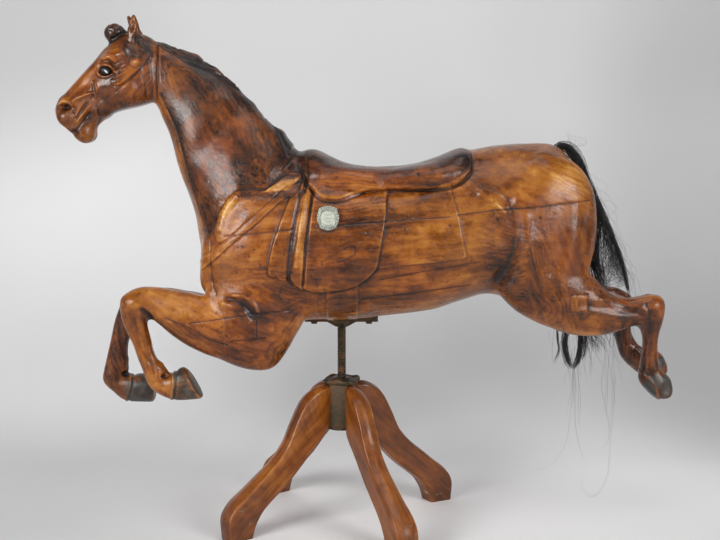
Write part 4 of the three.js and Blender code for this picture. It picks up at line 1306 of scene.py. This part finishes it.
def badge_metal():
    """Thin silvered metal with dull paint left in its hollows."""
    f = Finish("badge_metal")
    place = f.place()
    field, mark = f.attribute("field"), f.attribute("mark")
    bloom = f.noise(place, 220.0, detail=4, rough=0.6)
    body = f.mix(bloom.step(0.35, 0.65), (0.30, 0.32, 0.26), (0.60, 0.62, 0.54))
    body = f.mix(field * 0.7, body, (0.62, 0.66, 0.55))
    body = f.mix(mark * 0.75, body, (0.10, 0.10, 0.085))
    rough = 0.44 + (bloom - 0.5) * 0.3 + field * 0.06
    normal = f.bump(bloom, 0.0005, 0.4)
    return f.finish(color=body, rough=rough, metal=0.35 - mark * 0.2, normal=normal)


def horsehair():
    """Black horsehair with a dull sheen."""
    f = Finish("horsehair")
    shade = f.noise(f.place(), 60.0, detail=2)
    body = f.mix(shade.step(0.4, 0.7), (0.004, 0.0038, 0.004), (0.014, 0.011, 0.010))
    return f.finish(color=body, rough=0.34 + (shade - 0.5) * 0.2, specular=0.5)


# ---------------------------------------------------------------- finished pieces


def piece(mesh, name, material, body, nodes=(), smooth=True):
    """Puts a finished mesh in the scene as a piece that rides on a body."""
    mesh.name = name
    mesh.materials.clear()
    mesh.materials.append(material)
    mesh.polygons.foreach_set("use_smooth", [smooth] * len(mesh.polygons))
    made = bpy.data.objects.new(name, mesh)
    bpy.context.scene.collection.objects.link(made)
    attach(made, body)
    if nodes:
        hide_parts(*nodes)
    return made


def mesh_from(bm, name, scale=True):
    """A mesh in metres in the frame from a bmesh drawn in millimetres from the screw's axis."""
    bmesh.ops.recalc_face_normals(bm, faces=bm.faces)
    if scale:
        for vert in bm.verts:
            vert.co = Vector(np.array(vert.co) * MM + ORIGIN)
    mesh = bpy.data.meshes.new(name)
    bm.to_mesh(mesh)
    bm.free()
    return mesh


def kept(node, material):
    """Gives a node of the frame its finish, and leaves its shape alone."""
    made = frame["nodes"][node]
    made.data.materials.clear()
    made.data.materials.append(material)


def rounded_copy(node, name, material, body, width, angle=25):
    """A copy of a frame node with its sharp edges rounded over."""
    bm = bmesh.new()
    bm.from_mesh(frame["nodes"][node].data)
    bmesh.ops.remove_doubles(bm, verts=bm.verts, dist=1e-5)
    bmesh.ops.dissolve_limit(bm, angle_limit=0.01, verts=bm.verts, edges=bm.edges)
    sharp = [e for e in bm.edges if e.is_manifold and e.calc_face_angle() > math.radians(angle)]
    bmesh.ops.bevel(
        bm, geom=sharp, offset=width, segments=2, affect="EDGES", profile=0.5, material=-1,
        clamp_overlap=True,
    )
    bmesh.ops.triangulate(bm, faces=bm.faces)
    mesh = mesh_from(bm, name, scale=False)
    made = piece(mesh, name, material, body, [node])
    mesh.set_sharp_from_angle(angle=math.radians(40))
    return made


class HORSE_OT_carve(bpy.types.Operator):
    """Carve the horse"""

    bl_idname = "horse.carve"
    bl_label = "Carve Horse"

    def execute(self, context):
        mesh = carve_horse(context.scene.horse_carving)
        material = varnished_wood(context.scene.horse_wood)
        piece(mesh, "carved_horse", material, "horse", ["horse"])
        return {"FINISHED"}


class HORSE_OT_eyes(bpy.types.Operator):
    """Set the glass eyes"""

    bl_idname = "horse.eyes"
    bl_label = "Set Eyes"

    def execute(self, context):
        material = eye_glass()
        for side, node in ((NEAR, "eye_left"), (FAR, "eye_right")):
            bm = bmesh.new()
            bmesh.ops.create_uvsphere(bm, u_segments=40, v_segments=24, radius=1.0)
            bmesh.ops.rotate(bm, verts=bm.verts, matrix=Matrix.Rotation(math.pi / 2, 3, "X"))
            for vert in bm.verts:
                vert.co = Vector((
                    EYE["x"] + EYE["long"] * vert.co.x, side * EYE["y"] + EYE["deep"] * vert.co.y,
                    EYE["z"] + EYE["high"] * vert.co.z,
                ))
            mesh = mesh_from(bm, node)
            flat = np.empty(len(mesh.vertices) * 3)
            mesh.vertices.foreach_get("co", flat)
            co = (flat.reshape(-1, 3) - ORIGIN) / MM
            u, v = co[:, 0] - EYE["x"], co[:, 2] - EYE["z"]
            store(mesh, "pupil", 1 - ramp(np.hypot((u + 1.5) / 5.0, v / 4.2), 0.8, 1.1))
            # The rim mask is a painted glint: a pale streak at the eye's lower back where a highlight would fall.
            along, across = (u - 2.5) * 0.72 - (v + 2) * 0.69, (u - 2.5) * 0.69 + (v + 2) * 0.72
            store(mesh, "rim", 1 - ramp(np.hypot(along / 5.5, across / 2.2), 0.6, 1.1))
            piece(mesh, "glass_" + node, material, "horse", [node])
        return {"FINISHED"}


class HORSE_OT_badge(bpy.types.Operator):
    """Nail on the plain badge"""

    bl_idname = "horse.badge"
    bl_label = "Fix Badge"

    def execute(self, context):
        low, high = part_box("badge")
        centre, half, depth = (low + high) / 2, (high - low) / 2, high.y - low.y
        turn = np.linspace(0, 2 * math.pi, 144, endpoint=False)
        outline = np.array([shield(t) for t in turn]) * [half.x, half.z]
        rings = []
        for share, rise in BADGE_PROFILE:
            beads = 0.10 * (0.5 + 0.5 * np.cos(turn * 24)) * (0.66 < share < 0.86)
            y = high.y - depth * (rise + beads)
            rings.append(np.stack([centre.x + outline[:, 0] * share, y, centre.z + outline[:, 1] * share], axis=-1))
        bm = bmesh.new()
        add_tube(bm, np.array(rings), weld=1e-6)
        mesh = mesh_from(bm, "badge", scale=False)
        flat = np.empty(len(mesh.vertices) * 3)
        mesh.vertices.foreach_get("co", flat)
        co = flat.reshape(-1, 3)
        u, v = (co[:, 0] - centre.x) / half.x, (co[:, 2] - centre.z) / half.z
        away = np.hypot(u, v)
        beads = 0.5 + 0.5 * np.cos(np.arctan2(v, u) * 24)
        strokes = ramp(np.cos(v * 22), 0.3, 0.8) * (np.abs(u) < 0.30) * (away < 0.42)
        store(mesh, "field", 1 - ramp(away, 0.52, 0.60))
        store(mesh, "mark", np.maximum(strokes * 0.5, ramp(away, 0.60, 0.68) * (1 - beads) * 0.9))
        piece(mesh, "plain_badge", badge_metal(), "horse", ["badge"])
        return {"FINISHED"}


# The badge's section from its back to its middle, as shares of its outline and of its thickness.
BADGE_PROFILE = (
    (0.97, 0.0), (1.0, 0.12), (1.0, 0.5), (0.985, 0.62), (0.94, 0.66), (0.89, 0.6), (0.86, 0.66),
    (0.80, 0.86), (0.74, 0.9), (0.68, 0.84), (0.63, 0.62), (0.60, 0.55), (0.57, 0.62), (0.54, 0.72),
    (0.50, 0.74), (0.42, 0.76), (0.34, 0.78), (0.26, 0.79), (0.18, 0.80), (0.10, 0.80), (0.04, 0.80),
)


def shield(turn):
    """The badge's edge at an angle, as shares of its half width and half height."""
    scallop = 1 - 0.05 * (0.5 - 0.5 * math.cos(8 * turn))
    x = bulge(math.cos(turn), 2.9) * scallop
    z = bulge(math.sin(turn), 2.7) * scallop
    return x * (1 - 0.16 * max(0.0, -z) ** 2), z


class HORSE_OT_tail(bpy.types.Operator):
    """Hang the horsehair tail"""

    bl_idname = "horse.tail"
    bl_label = "Hang Tail"

    def execute(self, context):
        settings = context.scene.horse_hair
        mesh = tail_hair(settings)
        piece(mesh, "hair_tail", horsehair(), "horse", ["tail"])
        return {"FINISHED"}


# Locks of the tail as [x, z, half thickness, half width], each with its number of hairs.
TAIL_LOCKS = (
    (230, [
        [474, 838, 6, 9], [484, 849, 7, 11], [497, 849, 8, 13], [513, 837, 9, 14], [527, 819, 8, 14],
        [537, 801, 6, 13], [546, 781, 5, 12], [557, 757, 4, 11], [567, 733, 4, 11], [577, 702, 3, 10],
    ]),
    (85, [
        [520, 829, 6, 10], [537, 802, 5, 9], [553, 766, 4, 8], [567, 734, 5, 9], [585, 696, 6, 9],
        [604, 655, 5, 8], [620, 615, 4, 7], [634, 574, 4, 7], [643, 538, 3, 6], [648, 515, 2, 5],
    ]),
    (38, [
        [566, 734, 4, 10], [577, 696, 6, 12], [589, 664, 7, 13], [605, 619, 8, 14], [621, 579, 8, 12],
        [634, 548, 7, 10],
    ]),
    (60, [
        [552, 770, 5, 12], [565, 728, 8, 16], [572, 690, 10, 20], [573, 650, 13, 22], [570, 610, 15, 22],
        [574, 575, 15, 20], [582, 545, 14, 16], [575, 500, 12, 14], [560, 455, 12, 12],
    ]),
    (80, [
        [568, 660, 8, 14], [566, 625, 10, 18], [566, 598, 12, 20], [574, 572, 13, 18], [585, 548, 12, 16],
        [594, 528, 10, 12],
    ]),
    (75, [
        [511, 470, 6, 9], [509, 433, 5, 8], [506, 408, 5, 8], [510, 382, 5, 8], [517, 361, 5, 7],
        [526, 349, 4, 6],
    ]),
    (75, [
        [541, 470, 6, 9], [541, 433, 5, 8], [542, 408, 5, 8], [540, 382, 5, 8], [534, 360, 5, 7],
        [524, 348, 4, 6],
    ]),
    (14, [[487, 470, 4, 5], [487, 433, 2, 4], [489, 412, 2, 4], [492, 394, 2, 4], [487, 376, 2, 3],
          [478, 357, 2, 3]]),
    (24, [[549, 470, 5, 6], [549, 433, 3, 5], [552, 410, 3, 5], [551, 387, 3, 5], [546, 366, 3, 4]]),
    (26, [[548, 470, 8, 10], [560, 428, 12, 12], [576, 412, 14, 12], [597, 392, 14, 10]]),
    (30, [[560, 470, 22, 12], [566, 430, 30, 14], [572, 405, 34, 14], [580, 378, 38, 14]]),
    (2, [[528, 400, 1, 3], [529, 352, 1, 3], [532, 308, 1, 4], [532, 262, 1, 5], [536, 206, 1, 6],
         [549, 154, 1, 6], [567, 112, 2, 6]]),
    (2, [[597, 440, 2, 4], [599, 382, 2, 4], [596, 341, 2, 5], [594, 303, 2, 6], [605, 257, 2, 8],
         [614, 210, 2, 8], [610, 173, 2, 8], [590, 154, 3, 8], [556, 122, 3, 8]]),
    (2, [[622, 330, 4, 6], [618, 230, 4, 8], [615, 135, 4, 8], [612, 93, 4, 8], [597, 59, 4, 8],
         [579, 45, 4, 8], [560, 55, 4, 8], [549, 88, 4, 8], [580, 96, 4, 8]]),
    (1, [[524, 380, 2, 4], [524, 280, 2, 4], [518, 196, 2, 4], [498, 145, 2, 4], [471, 116, 2, 4],
         [430, 114, 2, 4]]),
)


def tail_hair(settings):
    """Fine tubes: the locks that swing between the legs, then loose strands."""
    rng = np.random.default_rng(settings.seed)
    curve = bpy.data.curves.new("hair", "CURVE")
    curve.dimensions = "3D"
    curve.bevel_depth = settings.thickness
    curve.bevel_resolution = 0
    curve.use_fill_caps = True
    for hairs, route in TAIL_LOCKS:
        path = smooth_rows(route, 6)
        girth = 1.0 if hairs > 2 else 0.45
        for _ in range(hairs):
            add_strand(curve, lock_strand(path, rng, 14 if hairs > 2 else 40), girth * rng.uniform(0.7, 1.6))
    for root, drop, sway, count in (
        ([526, 356], (40, 240), 12, 8), ([600, 400], (40, 220), 18, 8), ([550, 410], (30, 130), 34, 26),
        ([610, 470], (60, 150), 26, 8), ([500, 440], (30, 110), 22, 10),
    ):
        for _ in range(count):
            add_strand(curve, hanging_strand(root, drop, sway, rng), rng.uniform(0.35, 0.7))
    for _ in range(260):
        add_strand(curve, veil_strand(rng), rng.uniform(0.35, 0.9))
    for _ in range(46):
        add_strand(curve, flying_strand(rng), rng.uniform(0.3, 0.6))
    for _ in range(12):
        add_strand(curve, crown_strand(rng), rng.uniform(0.3, 0.5))
    holder = bpy.data.objects.new("hair", curve)
    bpy.context.scene.collection.objects.link(holder)
    graph = bpy.context.evaluated_depsgraph_get()
    mesh = bpy.data.meshes.new_from_object(holder.evaluated_get(graph), depsgraph=graph)
    bpy.data.objects.remove(holder)
    bpy.data.curves.remove(curve)
    return mesh


def add_strand(curve, points, girth):
    spline = curve.splines.new("POLY")
    spline.points.add(len(points) - 1)
    places = points * MM + ORIGIN
    spline.points.foreach_set("co", np.hstack([places, np.ones((len(points), 1))]).ravel())
    taper = np.interp(np.linspace(0, 1, len(points)), [0, 0.7, 1], [1, 0.9, 0.3])
    spline.points.foreach_set("radius", girth * taper)


def lock_strand(path, rng, count=14):
    """One hair of a lock: it keeps its place in the lock and strays a little along the way."""
    t = np.linspace(0, rng.uniform(0.8, 1.0), count)
    rows = np.stack([np.interp(t, np.linspace(0, 1, len(path)), path[:, i]) for i in range(4)], axis=1)
    ways = np.gradient(rows[:, :2], axis=0)
    ways /= np.linalg.norm(ways, axis=1)[:, None]
    off = np.stack([ways[:, 1], -ways[:, 0]], axis=1)
    place = rng.normal(size=2) * 0.55
    drift = place[None] + np.cumsum(rng.normal(size=(count, 2)) * 0.10, axis=0)
    flat = rows[:, :2] - off * (drift[:, :1] * rows[:, 2:3])
    return np.stack([flat[:, 0], drift[:, 1] * rows[:, 3], flat[:, 1]], axis=1)


def hanging_strand(root, drop, sway, rng, count=16):
    """A long hair that hangs free and curls a little."""
    fall = rng.uniform(*drop)
    t = np.linspace(0, 1, count)
    x = root[0] + rng.normal() * sway + rng.uniform(-12, 22) * t
    x = x + np.sin(t * rng.uniform(3, 7) + rng.uniform(0, 6)) * rng.uniform(2, 8) * t
    y = rng.normal() * 12 + rng.normal() * 14 * t
    z = root[1] + rng.uniform(-10, 40) - fall * t
    return np.stack([x, y, z], axis=1)


def veil_strand(rng, count=14):
    """A curled hair of the thin veil between the outer lock and the thigh."""
    path = smooth_rows(TAIL_LOCKS[1][1], 6)
    start = path[int(rng.uniform(0.35, 0.85) * len(path)), :2]
    low = rng.uniform(528, 610)
    end = np.array([rng.uniform(560, 650 - (low - 520) * 0.4), low])
    t = np.linspace(0, 1, count)
    curl = rng.uniform(1, 5) * np.sin(t * rng.uniform(8, 20) + rng.uniform(0, 6))
    x = start[0] + (end[0] - start[0]) * t + rng.normal() * 9 * np.sin(t * 3.14) + curl * t
    z = start[1] + (end[1] - start[1]) * t - rng.uniform(0, 12) * np.sin(t * 3.14)
    return np.stack([x, rng.normal() * 12 + rng.normal() * 12 * t, z], axis=1)


def flying_strand(rng, count=14):
    """A fine hair that strays out of the tail's outer lock and curls back."""
    path = smooth_rows(TAIL_LOCKS[1][1], 6)
    start = int(rng.uniform(0.15, 0.8) * len(path))
    root = path[start, :2]
    t = np.linspace(0, 1, count)
    reach, drop = rng.uniform(8, 60), rng.uniform(30, 150)
    x = root[0] + reach * np.sin(t * rng.uniform(1.2, 2.6)) + 4 * np.sin(t * rng.uniform(6, 14))
    z = root[1] + rng.uniform(-6, 14) * np.sin(t * 3.1) - drop * t
    y = rng.normal() * 12 + rng.normal() * 24 * t
    return np.stack([np.minimum(x, 748), y, z], axis=1)


def crown_strand(rng, count=12):
    """A short wild hair that loops above the dock."""
    turn = np.linspace(0, rng.uniform(2.0, 4.2), count)
    wide, high = rng.uniform(10, 30), rng.uniform(8, 26)
    x = 505 + rng.normal() * 8 + wide * np.sin(turn)
    z = 850 + high * (1 - np.cos(turn)) * 0.9
    return np.stack([x, rng.normal() * 12 + rng.normal() * 6 * turn, z], axis=1)


class HORSE_OT_stand(bpy.types.Operator):
    """Build the stand's four moulded legs"""

    bl_idname = "horse.stand"
    bl_label = "Build Stand Legs"

    def execute(self, context):
        material = stand_wood()
        for i, stray in enumerate(LEG_STRAY):
            turn = 180 + LEG_AZIMUTH + 90 * i + stray
            mesh = leg_mesh(turn)
            piece(mesh, f"moulded_leg_{i + 1}", material, "stand", [f"leg_{i + 1}"])
        return {"FINISHED"}


LEG_AZIMUTH = 31
LEG_STRAY = [0, -2, 0, 8]
LEG = [
    [34, 316, 34, 224, 10.5], [56, 316, 47, 211, 17], [80, 306, 56, 201, 20], [103, 286, 70, 186, 20],
    [127, 244, 88, 168, 20], [150, 197, 112, 142, 20], [180, 161, 137, 117, 21],
    [217, 130, 164, 94, 22], [252, 101, 190, 74, 24], [282, 76, 212, 54, 26],
    [299, 46, 228, 27, 26], [297, 0, 236, 0, 25],
]
LEG_CROWN = 5.0  # how far a leg's outer face swells between its rounded edges
LEG_EDGE = 6.5  # radius of those edges
LEG_TAPER = 0.86  # inner edge's width as a share of the outer one's


def leg_ring(outer, inner, half):
    """A leg's section: a crowned outer face, rounded edges and flat sides that draw in a little."""
    depth = np.linalg.norm(inner - outer)
    quarter = np.linspace(0, math.pi / 2, 5)
    rim = [[LEG_CROWN * 0.0 + LEG_EDGE * (1 - math.cos(a)), half - LEG_EDGE + LEG_EDGE * math.sin(a)] for a in quarter]
    crown = [[-LEG_CROWN * (1 - (k / 4) ** 2), (half - LEG_EDGE) * k / 4] for k in range(4)]
    side = [[LEG_EDGE + (depth - LEG_EDGE) * t, half * (1 - (1 - LEG_TAPER) * t)] for t in (0.3, 0.6, 0.85)]
    low_half, small = half * LEG_TAPER, 3.5
    foot = [[depth - small * (1 - math.sin(a)), low_half - small * (1 - math.cos(a))] for a in quarter[::2]]
    points = np.array(crown + rim + side + foot + [[depth, 0]])
    points[:, 0] = (points[:, 0] + LEG_CROWN) * depth / (depth + LEG_CROWN)
    return np.vstack([points, (points * [1, -1])[-2:0:-1]]) / [depth, 1]


def leg_mesh(turn):
    rows = smooth_rows(LEG, 6)
    rings = []
    for row in rows:
        outer, inner, half = row[0:2], row[2:4], row[4]
        loop = leg_ring(outer, inner, half)
        flat = outer + (inner - outer) * loop[:, :1]
        rings.append(np.stack([flat[:, 0], loop[:, 1], flat[:, 1]], axis=-1))
    bm = bmesh.new()
    add_tube(bm, np.array(rings))
    bmesh.ops.rotate(bm, verts=bm.verts, matrix=Matrix.Rotation(math.radians(turn), 3, "Z"))
    mesh = mesh_from(bm, "leg")
    flat = np.empty(len(mesh.vertices) * 3)
    mesh.vertices.foreach_get("co", flat)
    co = (flat.reshape(-1, 3) - ORIGIN) / MM
    radius = np.hypot(co[:, 0], co[:, 1])
    along = radius * 0.75 - co[:, 2] * 0.66
    out = radius * 0.66 + co[:, 2] * 0.75
    aside = -co[:, 0] * math.sin(math.radians(turn)) + co[:, 1] * math.cos(math.radians(turn))
    store(mesh, "grain", np.stack([along + turn * 9, out, aside], axis=1) / 100)
    # A painted highlight along each leg's rounded outer edge, stored in the wear mask.
    edge = np.tile(np.exp(-((np.arange(len(loop)) % (len(loop) - 1) - 6) / 2.0) ** 2), len(rows))
    store(mesh, "wear_and_highlight", edge[: len(co)] if len(edge) == len(co) else np.zeros(len(co)))
    return mesh


class HORSE_OT_iron(bpy.types.Operator):
    """Forge the stand's cap and column and the horse's screw and mounting cross"""

    bl_idname = "horse.iron"
    bl_label = "Forge Iron"

    def execute(self, context):
        material = aged_iron()
        for node, body, width in (
            ("column", "stand", 0.0008), ("mounting_cross", "horse", 0.0015),
            ("cross_screw_1", "horse", 0.0006), ("cross_screw_2", "horse", 0.0006),
        ):
            rounded_copy(node, "iron_" + node, material, body, width)
        piece(screw_mesh(), "threaded_rod", material, "horse", ["screw"])
        piece(cap_mesh(), "lobed_cap", material, "stand", ["cap"])
        return {"FINISHED"}


def screw_mesh():
    """The rod, whose thread climbs one pitch in each turn."""
    radius, depth, pitch = 10.0, 1.9, 5.8
    low, high, thread_low, thread_high = 224.0, 466.0, 329.0, 446.0
    sides = 32
    z = np.concatenate([[low], np.arange(thread_low - 6, thread_high + 6, pitch / 8), [high]])
    turn = np.linspace(0, 2 * math.pi, sides, endpoint=False)
    phase = (z[:, None] / pitch - turn[None] / (2 * math.pi)) % 1.0
    cut = depth * np.clip(np.abs(phase - 0.5) * 4 - 0.6, 0, 1)
    cut *= ramp(z, thread_low - 3, thread_low)[:, None] * (1 - ramp(z, thread_high, thread_high + 3))[:, None]
    r = radius - cut
    rings = np.stack([r * np.cos(turn), r * np.sin(turn), z[:, None] + 0 * turn], axis=-1)
    bm = bmesh.new()
    add_tube(bm, rings)
    return mesh_from(bm, "rod")


def cap_mesh():
    """The cast cap: four lobes, a raised wavy rim, a sunk top and a boss round the rod."""
    bore, mean, lobe, low, high = 10.4, 41.0, 4.5, 317.3, 329.3
    turn = np.linspace(0, 2 * math.pi, 96, endpoint=False)
    outline = mean + lobe * np.cos(4 * (turn - math.radians(180 + LEG_AZIMUTH)))
    wave = 1.2 * np.cos(8 * (turn - math.radians(180 + LEG_AZIMUTH)))
    profile = (
        (0.0, 0.0, 0), (0.94, 0.0, 0), (0.99, 1.2, 0), (1.0, 3.0, 0), (1.0, 6.5, 0), (0.985, 8.6, 0.3),
        (0.95, 10.2, 0.8), (0.90, 10.8, 1), (0.85, 10.0, 1), (0.80, 7.8, 0.5), (0.74, 6.6, 0.2), (0.62, 6.2, 0),
        (0.50, 6.8, 0), (0.42, 9.0, 0), (0.36, 11.6, 0), (0.28, 12.8, 0), (0.18, 13.6, 0), (0.06, 14.0, 0),
        (0.0, 13.4, 0),
    )
    rings = []
    for share, rise, swing in profile:
        radius = bore + (outline - bore) * share
        rings.append(np.stack([radius * np.cos(turn), radius * np.sin(turn), low + rise + wave * swing], axis=-1))
    bm = bmesh.new()
    add_tube(bm, np.array(rings + rings[:1]))
    return mesh_from(bm, "cap")


class HORSE_OT_stage(bpy.types.Operator):
    """Set the studio: floor and backdrop, lights and camera"""

    bl_idname = "horse.stage"
    bl_label = "Set Stage"

    def execute(self, context):
        bm = bmesh.new()
        wide, front, back, high, round_ = 7.0, -4.0, 1.25, 4.5, 0.75
        profile = [(front, 0.0), (back - round_, 0.0)]
        profile += [
            (back - round_ + round_ * math.sin(a), round_ - round_ * math.cos(a))
            for a in np.linspace(0, math.pi / 2, 17)[1:]
        ]
        profile.append((back, high))
        verts = [bm.verts.new((-wide, y, z)) for y, z in profile]
        edges = [bm.edges.new(pair) for pair in zip(verts, verts[1:])]
        made = bmesh.ops.extrude_edge_only(bm, edges=edges)["geom"]
        bmesh.ops.translate(
            bm, verts=[g for g in made if isinstance(g, bmesh.types.BMVert)], vec=(2 * wide, 0, 0)
        )
        bmesh.ops.recalc_face_normals(bm, faces=bm.faces)
        mesh = bpy.data.meshes.new("sweep")
        bm.to_mesh(mesh)
        bm.free()
        mesh.polygons.foreach_set("use_smooth", [True] * len(mesh.polygons))
        f = Finish("paper")
        x, y, z = f.parts(f.place())
        # The paper's colour carries painted light: brighter on the left, darker at the top corners and on the right,
        # and a painted shadow on the wall under the horse.
        level = 0.64 + f.noise(f.place(), 3.0, detail=2) * 0.03
        for cx, cz, wide, tall, change in (
            (-0.95, 0.35, 0.60, 0.55, 0.17), (-1.25, 1.25, 0.50, 0.45, -0.09), (1.25, 0.50, 0.45, 1.2, -0.14),
            (0.0, 0.22, 0.50, 0.22, -0.13), (0.95, 1.30, 0.50, 0.30, -0.05),
        ):
            away = ((x - cx) / wide) ** 2 + ((z - cz) / tall) ** 2
            level = level + (1 - away.step(0.0, 2.2)) * y.step(0.3, 0.9) * change
        # A painted pool of light on the floor under the horse, and the floor darker at the front left.
        away = ((x - 0.25) / 0.75) ** 2 + ((y - 0.25) / 0.55) ** 2
        level = level + (1 - away.step(0.0, 2.0)) * 0.24 - x.step(-0.5, -1.0) * (1 - y.step(-0.1, 0.4)) * 0.08
        paper = f.mix(level, (0.0, 0.0, 0.0), (1.0, 1.003, 1.013))
        mesh.materials.append(f.finish(color=paper, rough=0.75))
        sweep = bpy.data.objects.new("sweep", mesh)
        context.scene.collection.objects.link(sweep)
        self.light("key", (-2.5, -2.6, 1.75), (-0.1, 0.1, 0.6), 1.6, 98, (1.0, 0.99, 0.975))
        self.light("fill", (2.5, -2.6, 1.75), (0.2, 0.1, 0.6), 1.6, 74, (1.0, 0.99, 0.985))
        self.light("top", (0.2, -0.7, 3.0), (0.1, 0.1, 0.6), 1.6, 14, (1.0, 1.0, 1.0))
        world = bpy.data.worlds.new("studio")
        world.use_nodes = True
        world.node_tree.nodes["Background"].inputs[0].default_value = (0.90, 0.91, 0.93, 1)
        world.node_tree.nodes["Background"].inputs[1].default_value = 0.17
        context.scene.world = world
        context.scene.view_settings.view_transform = "Standard"
        camera = bpy.data.cameras.new("camera")
        camera.sensor_width, camera.lens = 36.0, 55.0
        camera.clip_end = 50
        eye = bpy.data.objects.new("camera", camera)
        eye.location = (-0.0234, -2.4464, 0.8542)
        eye.rotation_euler = (math.radians(90 - 6.5), 0, 0)
        context.scene.collection.objects.link(eye)
        context.scene.camera = eye
        return {"FINISHED"}

    def light(self, name, place, aim, size, power, colour):
        lamp = bpy.data.lights.new(name, "AREA")
        lamp.size, lamp.energy, lamp.color = size, power, colour
        holder = bpy.data.objects.new(name, lamp)
        holder.location = place
        holder.rotation_euler = (Vector(aim) - Vector(place)).to_track_quat("-Z", "Y").to_euler()
        bpy.context.scene.collection.objects.link(holder)


class HORSE_PT_panel(bpy.types.Panel):
    """Lists the pieces and their settings"""

    bl_label = "Carousel Horse"
    bl_idname = "HORSE_PT_panel"
    bl_space_type = "VIEW_3D"
    bl_region_type = "UI"
    bl_category = "Horse"

    def draw(self, context):
        for group in SETTINGS:
            block = getattr(context.scene, group)
            for name in block.__annotations__:
                self.layout.prop(block, name)
        for operator in OPERATORS:
            self.layout.operator(operator.bl_idname)


SETTINGS = {"horse_wood": WoodSettings, "horse_carving": CarvingSettings, "horse_hair": HairSettings}
OPERATORS = (
    HORSE_OT_carve, HORSE_OT_eyes, HORSE_OT_badge, HORSE_OT_tail, HORSE_OT_stand, HORSE_OT_iron,
    HORSE_OT_stage,
)


def register():
    for kind in (*SETTINGS.values(), *OPERATORS, HORSE_PT_panel):
        bpy.utils.register_class(kind)
    for name, kind in SETTINGS.items():
        setattr(bpy.types.Scene, name, PointerProperty(type=kind))


def unregister():
    for name in SETTINGS:
        delattr(bpy.types.Scene, name)
    for kind in (HORSE_PT_panel, *reversed(OPERATORS), *reversed(SETTINGS.values())):
        bpy.utils.unregister_class(kind)


def main():
    register()
    bpy.ops.horse.carve()
    bpy.ops.horse.eyes()
    bpy.ops.horse.badge()
    bpy.ops.horse.tail()
    bpy.ops.horse.stand()
    bpy.ops.horse.iron()
    bpy.ops.horse.stage()


if __name__ == "__main__":
    main()
